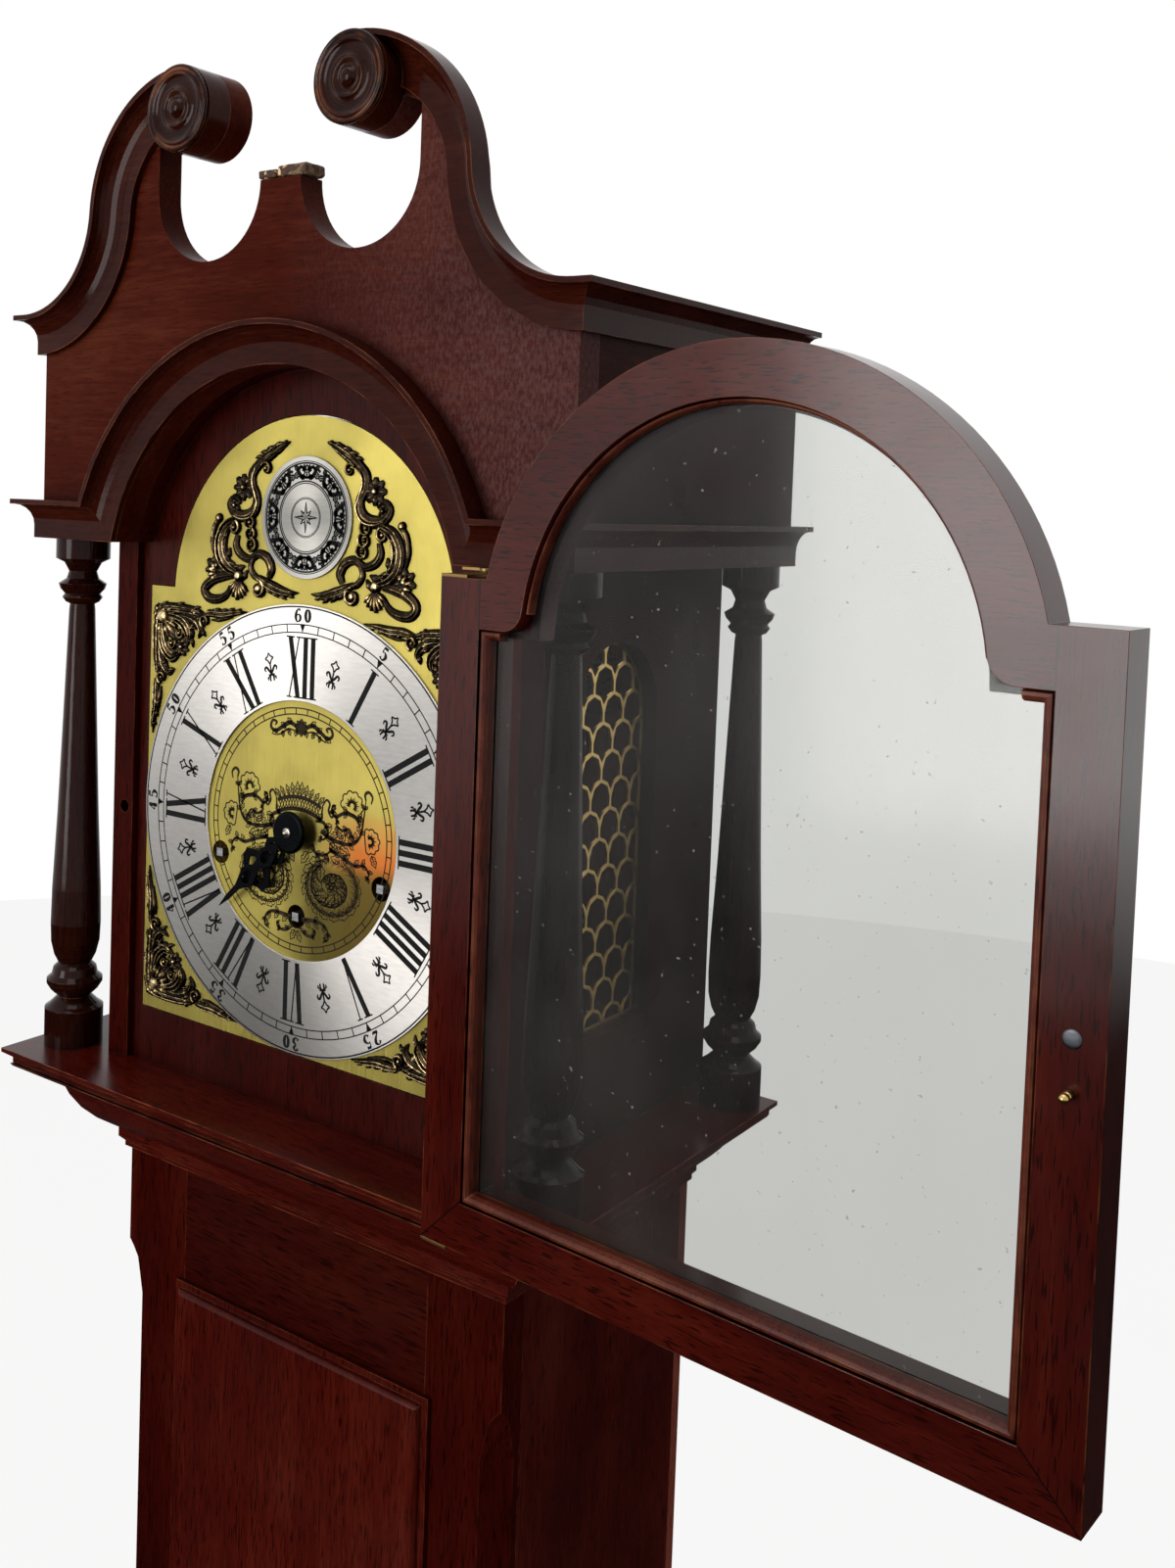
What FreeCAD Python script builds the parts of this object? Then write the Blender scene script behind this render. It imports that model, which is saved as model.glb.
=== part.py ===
# Mahogany break-arch longcase clock with a swan-neck hood, hood door open.
# Origin: on the floor under the middle of the base. +Z is up, the dial faces -Y.
import FreeCAD, Part
import math
import os

Vector = FreeCAD.Vector
doc = FreeCAD.newDocument("LongcaseClock")
sheet = doc.addObject("Spreadsheet::Sheet", "Sizes")

# Driving dimensions in millimetres, degrees and counts.
SIZES = {
    # heights above the floor
    "dial_height": 1620.0, "skirting_height": 92.0, "base_height": 470.0,
    "base_moulding_height": 58.0, "throat_height": 59.0,
    # plan
    "base_overhang": 32.8, "base_front_overhang": 32.5, "hood_overhang": 7.8, "trunk_depth": 207.5,
    "skirting_thick": 11.0, "board_thick": 10.0, "back_thick": 9.0, "panel_thick": 12.0,
    "bottom_thick": 14.0,
    # trunk face
    "post_width": 56.0, "post_depth": 19.4, "chamfer_width": 14.0, "chamfer_stop": 34.0,
    "chamfer_top_margin": 66.0, "chamfer_bottom_margin": 96.0, "rail_top_height": 81.4,
    "rail_bottom_height": 92.0, "rail_thick": 18.0,
    "door_overlap": 5.0, "door_panel_thick": 14.0, "door_proud": 6.5, "door_mould_step": 9.0,
    "trunk_hinge_radius": 3.4, "trunk_hinge_height": 52.0, "hinge_pin_radius": 1.6,
    "trunk_hinge_inset": 150.0, "escutcheon_height": 34.0, "escutcheon_width": 18.0,
    "fitting_thick": 1.6, "knob_radius": 7.0, "knob_length": 16.0,
    # hood carcass
    "dial_setback": 220.0, "mask_border": 9.4, "frieze_overhang": 48.0, "frieze_stand": 29.0,
    "hood_base_lip": 7.9, "hood_base_stand": 49.0, "sill_height": 36.7,
    "hood_base_thick": 10.0, "hood_base_step": 5.5, "jamb_width": 19.0, "jamb_stand": 3.5,
    "jamb_depth": 22.0,
    "soffit_lift": 34.2, "shoulder_lift": 3.2, "arch_sink": 5.8, "arch_gap": 1.9,
    "tympanum_thick": 18.0, "mask_thick": 8.0, "roof_thick": 8.0,
    "column_offset": 32.0, "column_setback": 21.2,
    "drum_radius": 19.6, "shaft_foot_radius": 16.7, "shaft_head_radius": 8.3,
    "window_width": 92.0, "window_foot": 112.0, "window_head": 125.0, "window_setback": 123.0,
    "fret_thick": 1.4, "fret_margin": 6.0, "scale_pitch": 22.0, "fret_bar": 1.9,
    # mouldings
    "cornice_height": 25.5, "cornice_projection": 15.7, "cornice_lip": 3.3, "cornice_foot": 4.2,
    "swan_low_radius": 66.8, "swan_low_x": 221.0, "swan_low_lift": 103.7,
    "swan_high_x": 68.5, "swan_high_lift": 94.2,
    "scroll_radius": 26.0, "scroll_x": 69.5, "scroll_lift": 153.7,
    "cut_radius": 45.0, "cut_x": 61.5, "cut_lift": 109.2, "cap_width": 41.0, "cap_height": 8.5,
    "rosette_radius": 21.5, "rosette_rise": 2.2, "rosette_eye": 5.0,
    # hood door
    "door_lap": 2.0, "hood_door_thick": 22.5, "hood_door_gap": 0.8, "door_shoulder": 26.6,
    "stile_width": 26.0, "door_rail_height": 25.0, "arch_rail": 25.4, "arch_lobe": 12.0,
    "glass_thick": 3.0,
    "glass_rebate": 4.0, "glass_depth": 11.0, "hinge_stand": 12.7, "leaf_width": 17.0,
    "hood_door_angle": 176.0, "catch_fall": 7.0, "catch_length": 4.0, "ring_pull_radius": 9.0,
    "ring_wire_radius": 1.3,
    "ring_pull_drop": 8.0,
    # dial
    "dial_width": 279.2, "dial_shoulder": 22.3, "dial_thick": 3.0,
    "ring_edge": 0.4, "ring_inner_radius": 80.0, "ring_thick": 1.4,
    "boss_share": 0.3197, "boss_lift_share": 0.4714, "spandrel_thick": 3.2, "spandrel_margin": 2.2,
    "winding_x": 68.0, "winding_rise": -24.5, "centre_winding_rise": -53.7, "winding_hole_radius": 7.4,
    "square_side": 5.2, "hand_thick": 1.1, "collet_radius": 13.0, "collet_rise": 2.4,
    "round_share": 0.8, "hub_radius": 9.0, "pipe_radius": 4.0, "hour_hand_length": 66.0,
    "minute_hand_length": 83.0, "hour_hand_angle": 227.5, "minute_hand_angle": 227.0,
    "hour_hand_stand": 3.4, "minute_hand_stand": 6.4,
    # movement
    "plate_thick": 3.0, "plate_width": 196.0, "plate_top": 92.0, "plate_foot": 102.0,
    "front_plate_setback": 24.0, "plate_gap": 58.0, "pillar_radius": 4.5, "pillar_inset": 14.0,
    "arbor_radius": 2.2, "centre_arbor_radius": 2.6, "winding_arbor_radius": 3.8,
    "cock_hole_radius": 6.0, "cock_width": 48.0, "cock_height": 14.0, "cock_stand": 10.0, "stud_radius": 3.0,
    "great_near": 44.0, "centre_near": 36.0, "third_near": 56.0, "escape_near": 66.0, "escape_rise": 52.4,
    "cannon_near": 17.0, "motion_near": 11.0, "motion_thick": 2.0, "pinion_lap": 1.0, "crutch_length": 92.0,
    "addendum_share": 0.70, "dedendum_share": 1.05, "tip_share": 0.10, "root_share": 0.23,
    "seat_thick": 18.0, "seat_depth": 80.0, "cheek_thick": 10.0, "cheek_drop": 150.0,
    "barrel_radius": 25.0, "barrel_length": 24.0, "wheel_thick": 2.4, "going_wheel_teeth": 60,
    "side_wheel_teeth": 36, "centre_pinion_teeth": 12, "centre_wheel_teeth": 60, "third_pinion_teeth": 8,
    "third_wheel_teeth": 56, "escape_pinion_teeth": 7, "escape_teeth": 30, "third_distance": 33.0,
    "escape_distance": 29.0, "escape_radius": 17.0, "side_wheel_radius": 27.5,
    "cannon_teeth": 12, "minute_wheel_teeth": 36, "minute_pinion_teeth": 10, "hour_wheel_teeth": 40,
    "motion_distance": 19.0,
    # pendulum and chimes
    "pivot_rise": 77.0, "pendulum_length": 994.0, "pendulum_setback": 106.0, "pendulum_rod_radius": 2.5,
    "bob_radius": 62.0, "bob_thick": 26.0, "rim_thick": 5.0, "pendulum_block": 9.0, "rating_nut_radius": 9.0,
    "rod_count": 5, "rod_radius": 2.5, "rod_pitch": 14.0, "rod_length": 330.0, "rod_block_height": 34.0,
    "rod_block_rise": 66.0, "rod_setback": 176.0, "chime_x": 34.0, "hammer_radius": 5.0,
    "hammer_setback": 146.0, "hammer_rise": 38.0, "strike_gap": 2.5,
    # clearances
    "seat_gap": 0.3, "running_gap": 0.05, "slide_gap": 0.6, "overrun": 2.0,
}
# Sizes that follow: the hood steps out and up from the dial, and the arches nest in one another.
FOLLOWING = {
    "hood_width": "dial_width + 2 * mask_border + 2 * jamb_width",
    "trunk_width": "hood_width - 2 * hood_overhang",
    "base_width": "trunk_width + 2 * base_overhang",
    "base_depth": "trunk_depth + base_front_overhang",
    "frieze_width": "hood_width + 2 * frieze_overhang",
    "hood_base_width": "frieze_width + 2 * hood_base_lip",
    "column_span": "hood_width + 2 * column_offset",
    "hood_door_width": "hood_width + 2 * door_lap",
    "hood_door_arch": "hood_door_width / 2 - door_shoulder",
    "frieze_arch_radius": "hood_door_arch + arch_gap",
    "sight_arch_radius": "hood_door_arch - arch_rail",
    "dial_arch_radius": "dial_width / 2 - dial_shoulder",
    "dial_foot": "dial_width / 2",
    "ring_outer_radius": "dial_width / 2 - ring_edge",
    "shoulder_rise": "dial_width / 2 + shoulder_lift",
    "arch_centre_rise": "shoulder_rise - arch_sink",
    "boss_radius": "dial_arch_radius * boss_share",
    "boss_rise": "arch_centre_rise + dial_arch_radius * boss_lift_share",
    "soffit_rise": "arch_centre_rise + soffit_lift",
    "hood_base_drop": "dial_foot + sill_height",
    "crown_rise": "arch_centre_rise + frieze_arch_radius",
    "swan_low_rise": "crown_rise + swan_low_lift",
    "swan_high_rise": "crown_rise + swan_high_lift",
    "scroll_rise": "crown_rise + scroll_lift",
    "cut_rise": "crown_rise + cut_lift",
}
for row, (alias, size) in enumerate([*SIZES.items(), *FOLLOWING.items()], start=1):
    sheet.set("A%d" % row, alias)
    sheet.set("B%d" % row, str(size) if alias in SIZES else "=" + size)
    sheet.setAlias("B%d" % row, alias)
doc.recompute()


class Named:
    """The sheet's cells as plain names."""


v = Named()
for alias in [*SIZES, *FOLLOWING]:
    setattr(v, alias, float(sheet.get(alias)))

# Places worked out from the driving dimensions.
REAR = v.base_depth / 2
DIAL_Y = REAR - v.dial_setback
DIAL_Z = v.dial_height
TRUNK_HALF = v.trunk_width / 2
TRUNK_FRONT = REAR - v.trunk_depth
BASE_HALF = v.base_width / 2
BASE_FRONT = REAR - v.base_depth
HOOD_HALF = v.hood_width / 2
FRIEZE_HALF = v.frieze_width / 2
FRIEZE_FRONT = DIAL_Y - v.frieze_stand
TYMPANUM_REAR = FRIEZE_FRONT + v.tympanum_thick
HOOD_FLOOR = DIAL_Z - v.hood_base_drop
HOOD_BASE_FRONT = DIAL_Y - v.hood_base_stand
HOOD_BASE_HALF = v.hood_base_width / 2
THROAT_TOP = HOOD_FLOOR - v.hood_base_thick - v.seat_gap
THROAT_FOOT = THROAT_TOP - v.throat_height
TRUNK_FOOT = v.base_height + v.base_moulding_height
SOFFIT = DIAL_Z + v.soffit_rise
CORNICE_TOP = DIAL_Z + v.swan_low_rise - v.swan_low_radius
FRIEZE_TOP = CORNICE_TOP - v.cornice_height
ARCH_Z = DIAL_Z + v.arch_centre_rise
JAMB_FRONT = DIAL_Y - v.jamb_stand
MASK_FRONT = DIAL_Y + v.ring_thick
COLUMN_X = v.column_span / 2
COLUMN_FRONT_Y = FRIEZE_FRONT + v.column_setback
COLUMN_REAR_Y = REAR - v.column_setback
BACKBOARD_FRONT = REAR - v.back_thick
POST_INNER = TRUNK_HALF - v.post_width
OPENING_FOOT = TRUNK_FOOT + v.rail_bottom_height
OPENING_TOP = THROAT_FOOT - v.rail_top_height
PLATE_FRONT_Y = DIAL_Y + v.front_plate_setback
PLATE_REAR_Y = PLATE_FRONT_Y + v.plate_thick + v.plate_gap
SEAT_TOP = DIAL_Z - v.plate_foot
MASK_HALF = v.dial_width / 2 + v.slide_gap
MASK_FOOT = v.dial_foot + v.slide_gap


def ex(text):
    """A formula on the sheet: every name in it becomes a cell of the sheet."""
    out = ""
    word = ""
    for letter in text + " ":
        if letter.isalnum() or letter == "_":
            word += letter
            continue
        out += "Sizes." + word if word in SIZES or word in FOLLOWING else word
        out += letter
        word = ""
    return out.strip()


def place(obj, x=0.0, y=0.0, z=0.0):
    obj.Placement = FreeCAD.Placement(Vector(x, y, z), FreeCAD.Rotation())
    return obj


def board(label, low, high, formulas):
    """A rectangular board between two corners, with its three sizes bound to the sheet."""
    box = doc.addObject("Part::Box", label)
    box.Label = label
    for side, formula in zip(("Length", "Width", "Height"), formulas):
        if formula:
            box.setExpression(side, ex(formula))
    for side, lo, hi, formula in zip(("Length", "Width", "Height"), low, high, formulas):
        if not formula:
            setattr(box, side, hi - lo)
    return place(box, *low)


def role_plane(body, role):
    for item in body.Origin.OriginFeatures:
        if item.Role == role:
            return item
    return None


def line(a, b):
    return Part.LineSegment(Vector(a[0], a[1], 0), Vector(b[0], b[1], 0))


def arc(centre, radius, start, end):
    """An arc counterclockwise between two angles in degrees."""
    circle = Part.Circle(Vector(centre[0], centre[1], 0), Vector(0, 0, 1), radius)
    return Part.ArcOfCircle(circle, math.radians(start), math.radians(end))


def loop(points):
    return [line(a, b) for a, b in zip(points, points[1:] + points[:1])]


def sketch(body, name, role, parts):
    item = body.newObject("Sketcher::SketchObject", name)
    item.AttachmentSupport = (role_plane(body, role), [""])
    item.MapMode = "FlatFace"
    item.addGeometry(parts, False)
    return item


def pad_body(label, role, parts, formula, move=(0, 0, 0), reverse=False):
    """A PartDesign body with one sketch padded by a formula of the sheet."""
    body = doc.addObject("PartDesign::Body", label)
    body.Label = label
    base = sketch(body, label + "_outline", role, parts)
    pad = body.newObject("PartDesign::Pad", label + "_pad")
    pad.Profile = base
    pad.setExpression("Length", ex(formula))
    pad.Reversed = reverse
    place(body, *move)
    doc.recompute()
    return body


def pocket(body, name, role, parts, formula, reverse=False, offset=0.0):
    cut = sketch(body, name + "_outline", role, parts)
    cut.AttachmentOffset = FreeCAD.Placement(Vector(0, 0, offset), FreeCAD.Rotation())
    item = body.newObject("PartDesign::Pocket", name)
    item.Profile = cut
    item.setExpression("Length", ex(formula))
    item.Reversed = reverse
    doc.recompute()
    return item


def turned(label, points, move=(0, 0, 0), role="XZ_Plane"):
    """A body turned about the upright axis of its sketch from (radius, height) points."""
    body = doc.addObject("PartDesign::Body", label)
    body.Label = label
    profile = sketch(body, label + "_profile", role, loop(points))
    turn = body.newObject("PartDesign::Revolution", label + "_turn")
    turn.Profile = profile
    turn.ReferenceAxis = (profile, ["V_Axis"])
    turn.Angle = 360.0
    place(body, *move)
    doc.recompute()
    return body


def feature(label, shape):
    item = doc.addObject("Part::Feature", label)
    item.Label = label
    item.Shape = shape
    return item


def prism(parts, depth_vector):
    """A solid from edges that lie in the XZ plane."""
    wire = Part.Wire(Part.__sortEdges__([p.toShape() if hasattr(p, "toShape") else p for p in parts]))
    return Part.Face(wire).extrude(depth_vector)


def upright(parts, y):
    """Sketch edges in (x, z) stood up at the given depth."""
    stand = FreeCAD.Placement(Vector(0, y, 0), FreeCAD.Rotation(Vector(1, 0, 0), 90))
    edges = []
    for part in parts:
        edge = part.toShape()
        edge.Placement = stand
        edges.append(edge)
    return edges


def front_solid(parts, y_front, y_rear):
    return prism(upright(parts, y_rear), Vector(0, y_front - y_rear, 0))


def box_shape(low, high):
    size = [b - a for a, b in zip(low, high)]
    return Part.makeBox(*size, Vector(*low))


def rod(radius, start, end):
    axis = end - start
    return Part.makeCylinder(radius, axis.Length, start, axis)


# Case: base, trunk and back.
def u_sweep(profile, half, front, rear, foot):
    """A moulding of (projection, height) points carried round two sides and the front with mitres."""
    outline = [Vector(-half - out, rear, foot + up) for out, up in profile]
    wire = Part.makePolygon(outline + outline[:1])
    path = Part.makePolygon([Vector(-half, rear, foot), Vector(-half, front, foot),
                             Vector(half, front, foot), Vector(half, rear, foot)])
    right_corner = 1
    return path.makePipeShell([wire], True, False, right_corner)


def base_box():
    """Three panels and a bottom board that stand on the floor inside the skirting."""
    outer = BASE_HALF - v.skirting_thick
    front = BASE_FRONT + v.skirting_thick
    inner_front = front + v.panel_thick
    board("base_front", (-outer, front, 0), (outer, inner_front, v.base_height),
          ("base_width - 2 * skirting_thick", "panel_thick", "base_height"))
    for side, low in (("left", -outer), ("right", outer - v.panel_thick)):
        board("base_side_" + side, (low, inner_front, 0), (0, 0, 0),
              ("panel_thick", "base_depth - skirting_thick - panel_thick", "base_height"))
    board("base_board", (-outer + v.panel_thick, inner_front, 0), (0, 0, 0),
          ("base_width - 2 * skirting_thick - 2 * panel_thick",
           "base_depth - skirting_thick - panel_thick - back_thick", "bottom_thick"))


def skirting():
    """Plinth skirting with a fillet and a cove on its top edge."""
    step_share = 0.45
    thick = v.skirting_thick
    step = thick * step_share
    turn = v.skirting_height - step
    cove = [(step + (thick - step) * (1 - math.sin(math.radians(angle))),
             turn - (thick - step) * math.cos(math.radians(angle))) for angle in (0, 22, 45, 68, 90)]
    profile = [(0, 0), (thick, 0)] + cove + [(step, v.skirting_height), (0, v.skirting_height)]
    half = BASE_HALF - thick
    feature("skirting", u_sweep(profile, half, BASE_FRONT + thick, REAR, 0))


def base_moulding():
    """Cove that steps in from the base to the trunk."""
    reach = BASE_HALF - v.skirting_thick - TRUNK_HALF
    lip = v.cornice_lip
    height = v.base_moulding_height
    cove_steps = 6
    cove = []
    for step in range(cove_steps + 1):
        turn = math.pi / 2 * step / cove_steps
        cove.append((lip + reach * (1 - math.sin(turn)),
                     3 * lip + (height - 5 * lip) * (1 - math.cos(turn))))
    profile = [(0, 0), (reach + 2 * lip, 0), (reach + 2 * lip, lip), (reach + lip, 2 * lip)] + cove
    profile += [(2 * lip, height - 2 * lip), (2 * lip, height - lip), (0, height)]
    feature("base_moulding", u_sweep(profile, TRUNK_HALF, TRUNK_FRONT, REAR, v.base_height))


def corner_post(side, sign):
    """Front stile of the trunk with a stopped chamfer down its outer corner."""
    low = min(sign * POST_INNER, sign * TRUNK_HALF)
    foot = v.base_height - v.base_moulding_height
    post = box_shape((low, TRUNK_FRONT, foot), (low + v.post_width, TRUNK_FRONT + v.post_depth, THROAT_TOP))

    def wedge(share, z):
        """The chamfer's triangle, shrunk towards the corner, with its waste outside the post."""
        width = v.chamfer_width * share
        corner = Vector(sign * (TRUNK_HALF + v.overrun), TRUNK_FRONT - v.overrun, z)
        along = Vector(sign * (TRUNK_HALF - width), TRUNK_FRONT - v.overrun, z)
        front = Vector(sign * (TRUNK_HALF - width), TRUNK_FRONT, z)
        back = Vector(sign * TRUNK_HALF, TRUNK_FRONT + width, z)
        outer = Vector(sign * (TRUNK_HALF + v.overrun), TRUNK_FRONT + width, z)
        return Part.makePolygon([corner, along, front, back, outer, corner])

    start = OPENING_FOOT - v.rail_bottom_height + v.chamfer_bottom_margin
    end = THROAT_FOOT - v.chamfer_top_margin
    stop = v.chamfer_stop
    stop_shares = ((0.03, 0.0), (0.30, 0.12), (0.62, 0.30), (0.80, 0.62), (1.0, 1.0))
    heights = [start + stop * along for share, along in stop_shares]
    heights += [end - stop * along for share, along in reversed(stop_shares)]
    shares = [share for share, along in stop_shares] + [share for share, along in reversed(stop_shares)]
    cut = Part.makeLoft([wedge(share, z) for share, z in zip(shares, heights)], True, True)
    feature("corner_post_" + side, post.cut(cut))


def trunk():
    foot = v.bottom_thick
    for side, low in (("left", -TRUNK_HALF), ("right", TRUNK_HALF - v.panel_thick)):
        start = TRUNK_FRONT + v.post_depth
        board("trunk_side_" + side, (low, start, foot), (low, BACKBOARD_FRONT, THROAT_TOP),
              ("panel_thick", "trunk_depth - post_depth - back_thick", None))
    corner_post("left", -1)
    corner_post("right", 1)
    board("rail_top", (-POST_INNER, TRUNK_FRONT, OPENING_TOP), (POST_INNER, 0, THROAT_TOP),
          ("trunk_width - 2 * post_width", "rail_thick", None))
    board("rail_bottom", (-POST_INNER, TRUNK_FRONT, v.base_height - v.base_moulding_height),
          (POST_INNER, 0, OPENING_FOOT), ("trunk_width - 2 * post_width", "rail_thick", None))


def backboard():
    """One board up the whole back, narrow where the hood's base slides past it."""
    base_half = BASE_HALF - v.skirting_thick - v.panel_thick
    neck_half = TRUNK_HALF - v.panel_thick
    hood_half = HOOD_HALF - v.board_thick - v.slide_gap
    neck_top = HOOD_FLOOR + v.slide_gap
    top = SOFFIT + v.roof_thick
    right = [(base_half, 0), (base_half, v.base_height), (TRUNK_HALF, v.base_height),
             (TRUNK_HALF, THROAT_TOP), (neck_half, THROAT_TOP), (neck_half, neck_top),
             (hood_half, neck_top), (hood_half, top)]
    left = [(-x, z) for x, z in reversed(right)]
    pad_body("backboard", "XZ_Plane", loop(right + left), "back_thick", (0, REAR, 0))


def throat_moulding():
    """Cove and beads that spread from the trunk to the hood's base."""
    half, front = TRUNK_HALF, TRUNK_FRONT
    reach = HOOD_BASE_HALF - v.hood_base_step - TRUNK_HALF
    height = v.throat_height
    lip = v.cornice_lip
    brow_shares = ((1.0, 1.0), (0.98, 0.97), (0.80, 0.87), (0.62, 0.78))
    cove_shares = ((0.58, 0.77), (0.52, 0.62), (0.42, 0.46), (0.29, 0.33), (0.145, 0.235))
    profile = [(reach * out, height * up) for out, up in brow_shares + cove_shares]
    profile += [(2 * lip, height * cove_shares[-1][1]), (2 * lip, 2 * lip), (lip, lip), (lip, 0), (0, 0),
                (0, height)]
    feature("throat_moulding", u_sweep(profile[::-1], half, front, REAR, THROAT_FOOT))


def seat_board():
    """Board that carries the movement, on a cheek at each side of the trunk."""
    half = TRUNK_HALF - v.panel_thick
    front = PLATE_FRONT_Y - v.cornice_foot
    rear = front + v.seat_depth
    cheek_front = TRUNK_FRONT + v.post_depth
    shape = box_shape((-half, front, SEAT_TOP - v.seat_thick), (half, rear, SEAT_TOP))
    for low in (-half, half - v.cheek_thick):
        cheek = box_shape((low, cheek_front, THROAT_TOP - v.cheek_drop),
                          (low + v.cheek_thick, rear, SEAT_TOP - v.seat_thick))
        shape = shape.fuse(cheek)
    feature("seat_board", shape.removeSplitter())


# Trunk door.
HINGE_X = POST_INNER + v.door_overlap + v.trunk_hinge_radius
HINGE_Y = TRUNK_FRONT - v.trunk_hinge_radius


def trunk_door():
    """Flat panel with a stepped and rounded lip that laps over its opening."""
    half = POST_INNER + v.door_overlap
    foot = OPENING_FOOT - v.door_overlap
    top = OPENING_TOP + v.door_overlap
    lip_share = 0.4
    step_share = 0.5
    lip = v.door_proud * lip_share
    step = v.door_mould_step * step_share
    front = TRUNK_FRONT - v.seat_gap
    shape = box_shape((-half, front - lip, foot), (half, front, top))
    field = box_shape((-half + step, front - v.door_proud, foot + step), (half - step, front, top - step))
    rim = [edge for edge in field.Edges
           if all(abs(point.Point.y - (front - v.door_proud)) < v.running_gap for point in edge.Vertexes)]
    field = field.makeFillet(v.door_proud - lip - v.seat_gap, rim)
    inside = POST_INNER - v.slide_gap
    body = box_shape((-inside, front - v.seat_gap, OPENING_FOOT + v.slide_gap),
                     (inside, front + v.door_panel_thick, OPENING_TOP - v.slide_gap))
    feature("trunk_door", shape.fuse([field, body]).removeSplitter())


def trunk_door_fittings():
    """Two hinge knuckles, an escutcheon and a knob."""
    knuckles = []
    for z in (OPENING_FOOT + v.trunk_hinge_inset, OPENING_TOP - v.trunk_hinge_inset):
        low = Vector(HINGE_X, HINGE_Y, z - v.trunk_hinge_height / 2)
        high = Vector(HINGE_X, HINGE_Y, z + v.trunk_hinge_height / 2)
        knuckle = rod(v.trunk_hinge_radius - v.seat_gap, low, high)
        leaf = box_shape((POST_INNER, HINGE_Y - v.fitting_thick / 2, low.z),
                         (HINGE_X, HINGE_Y + v.fitting_thick / 2, high.z))
        door_edge = box_shape((POST_INNER - v.overrun, TRUNK_FRONT - v.door_proud - v.seat_gap, low.z),
                              (POST_INNER + v.door_overlap, TRUNK_FRONT, high.z))
        knuckles.append(knuckle.fuse(leaf.cut(door_edge)))
    face = TRUNK_FRONT - v.seat_gap - v.door_proud
    middle = (OPENING_FOOT + OPENING_TOP) / 2
    x = -POST_INNER + v.escutcheon_width
    plate = box_shape((x - v.escutcheon_width / 2, face - v.fitting_thick, middle - v.escutcheon_height / 2),
                      (x + v.escutcheon_width / 2, face, middle + v.escutcheon_height / 2))
    stem_radius = v.knob_radius / 2
    stem = rod(stem_radius, Vector(x, face, middle), Vector(x, face - v.knob_length, middle))
    ball = Part.makeSphere(v.knob_radius, Vector(x, face - v.knob_length, middle))
    feature("trunk_door_fittings", Part.makeCompound(knuckles + [plate.fuse([stem, ball])]))


# Hood carcass.
def hood_base():
    """Moulded base board of the hood: a U open at the back, round the top of the trunk."""
    inner = TRUNK_HALF - v.panel_thick + v.slide_gap
    step = v.hood_base_step
    thick = v.hood_base_thick
    profile = [(0, 0), (0, thick), (HOOD_BASE_HALF - inner, thick),
               (HOOD_BASE_HALF - inner, thick - 2 * v.fret_thick),
               (HOOD_BASE_HALF - inner - step, thick / 3), (HOOD_BASE_HALF - inner - step, 0)]
    front = HOOD_BASE_FRONT + (HOOD_BASE_HALF - inner)
    feature("hood_base", u_sweep(profile[::-1], inner, front, REAR, HOOD_FLOOR - thick))


def arch_outline(half, foot, shoulder, radius, centre_z, lobe=0.0):
    """Break-arch outline in (x, z): square shoulders under a round arch, with a rounded lobe between."""
    rise = shoulder + lobe - centre_z
    spring = math.sqrt((radius + lobe) ** 2 - rise ** 2)
    start = math.degrees(math.asin(rise / (radius + lobe)))
    top = [arc((0, centre_z), radius, start, 180 - start)]
    if lobe:
        top = [arc((spring, shoulder + lobe), lobe, 180 + start, 270), *top,
               arc((-spring, shoulder + lobe), lobe, 270, 360 - start)]
    return [line((-half, foot), (half, foot)), line((half, foot), (half, shoulder)),
            line((half, shoulder), (spring, shoulder)), *top,
            line((-spring, shoulder), (-half, shoulder)), line((-half, shoulder), (-half, foot))]


def window_parts(margin):
    """Round-headed side window as (y, z) edges."""
    middle = REAR - v.window_setback
    half = v.window_width / 2 + margin
    foot = DIAL_Z - v.window_foot - margin
    spring = DIAL_Z + v.window_head - v.window_width / 2
    return [line((middle - half, foot), (middle + half, foot)),
            line((middle + half, foot), (middle + half, spring)), arc((middle, spring), half, 0, 180),
            line((middle - half, spring), (middle - half, foot))]


def side_solid(parts, x_low, x_high):
    """A solid from (y, z) edges between two x planes."""
    edges = []
    stand = FreeCAD.Placement(Vector(x_low, 0, 0), FreeCAD.Rotation(Vector(1, 1, 1), 120))
    for part in parts:
        edge = part.toShape()
        edge.Placement = stand
        edges.append(edge)
    return prism(edges, Vector(x_high - x_low, 0, 0))


def mirrored(shape):
    return shape.mirror(Vector(0, 0, 0), Vector(1, 0, 0))


def hood_sides():
    """Lower side with its arched window, soffit and upper side of the hood, as one glued piece a side."""
    inner = HOOD_HALF - v.board_thick
    start = JAMB_FRONT + v.jamb_depth
    lower = box_shape((inner, start, HOOD_FLOOR), (HOOD_HALF, REAR, SOFFIT + v.board_thick))
    lower = lower.cut(side_solid(window_parts(0), inner - v.overrun, HOOD_HALF + v.overrun))
    soffit = box_shape((inner, TYMPANUM_REAR, SOFFIT), (FRIEZE_HALF, REAR, SOFFIT + v.board_thick))
    upper = box_shape((FRIEZE_HALF - v.board_thick, TYMPANUM_REAR, SOFFIT),
                      (FRIEZE_HALF, REAR, CORNICE_TOP - v.roof_thick))
    right = lower.fuse([soffit, upper]).removeSplitter()
    feature("hood_side_right", right)
    feature("hood_side_left", mirrored(right))


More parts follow.
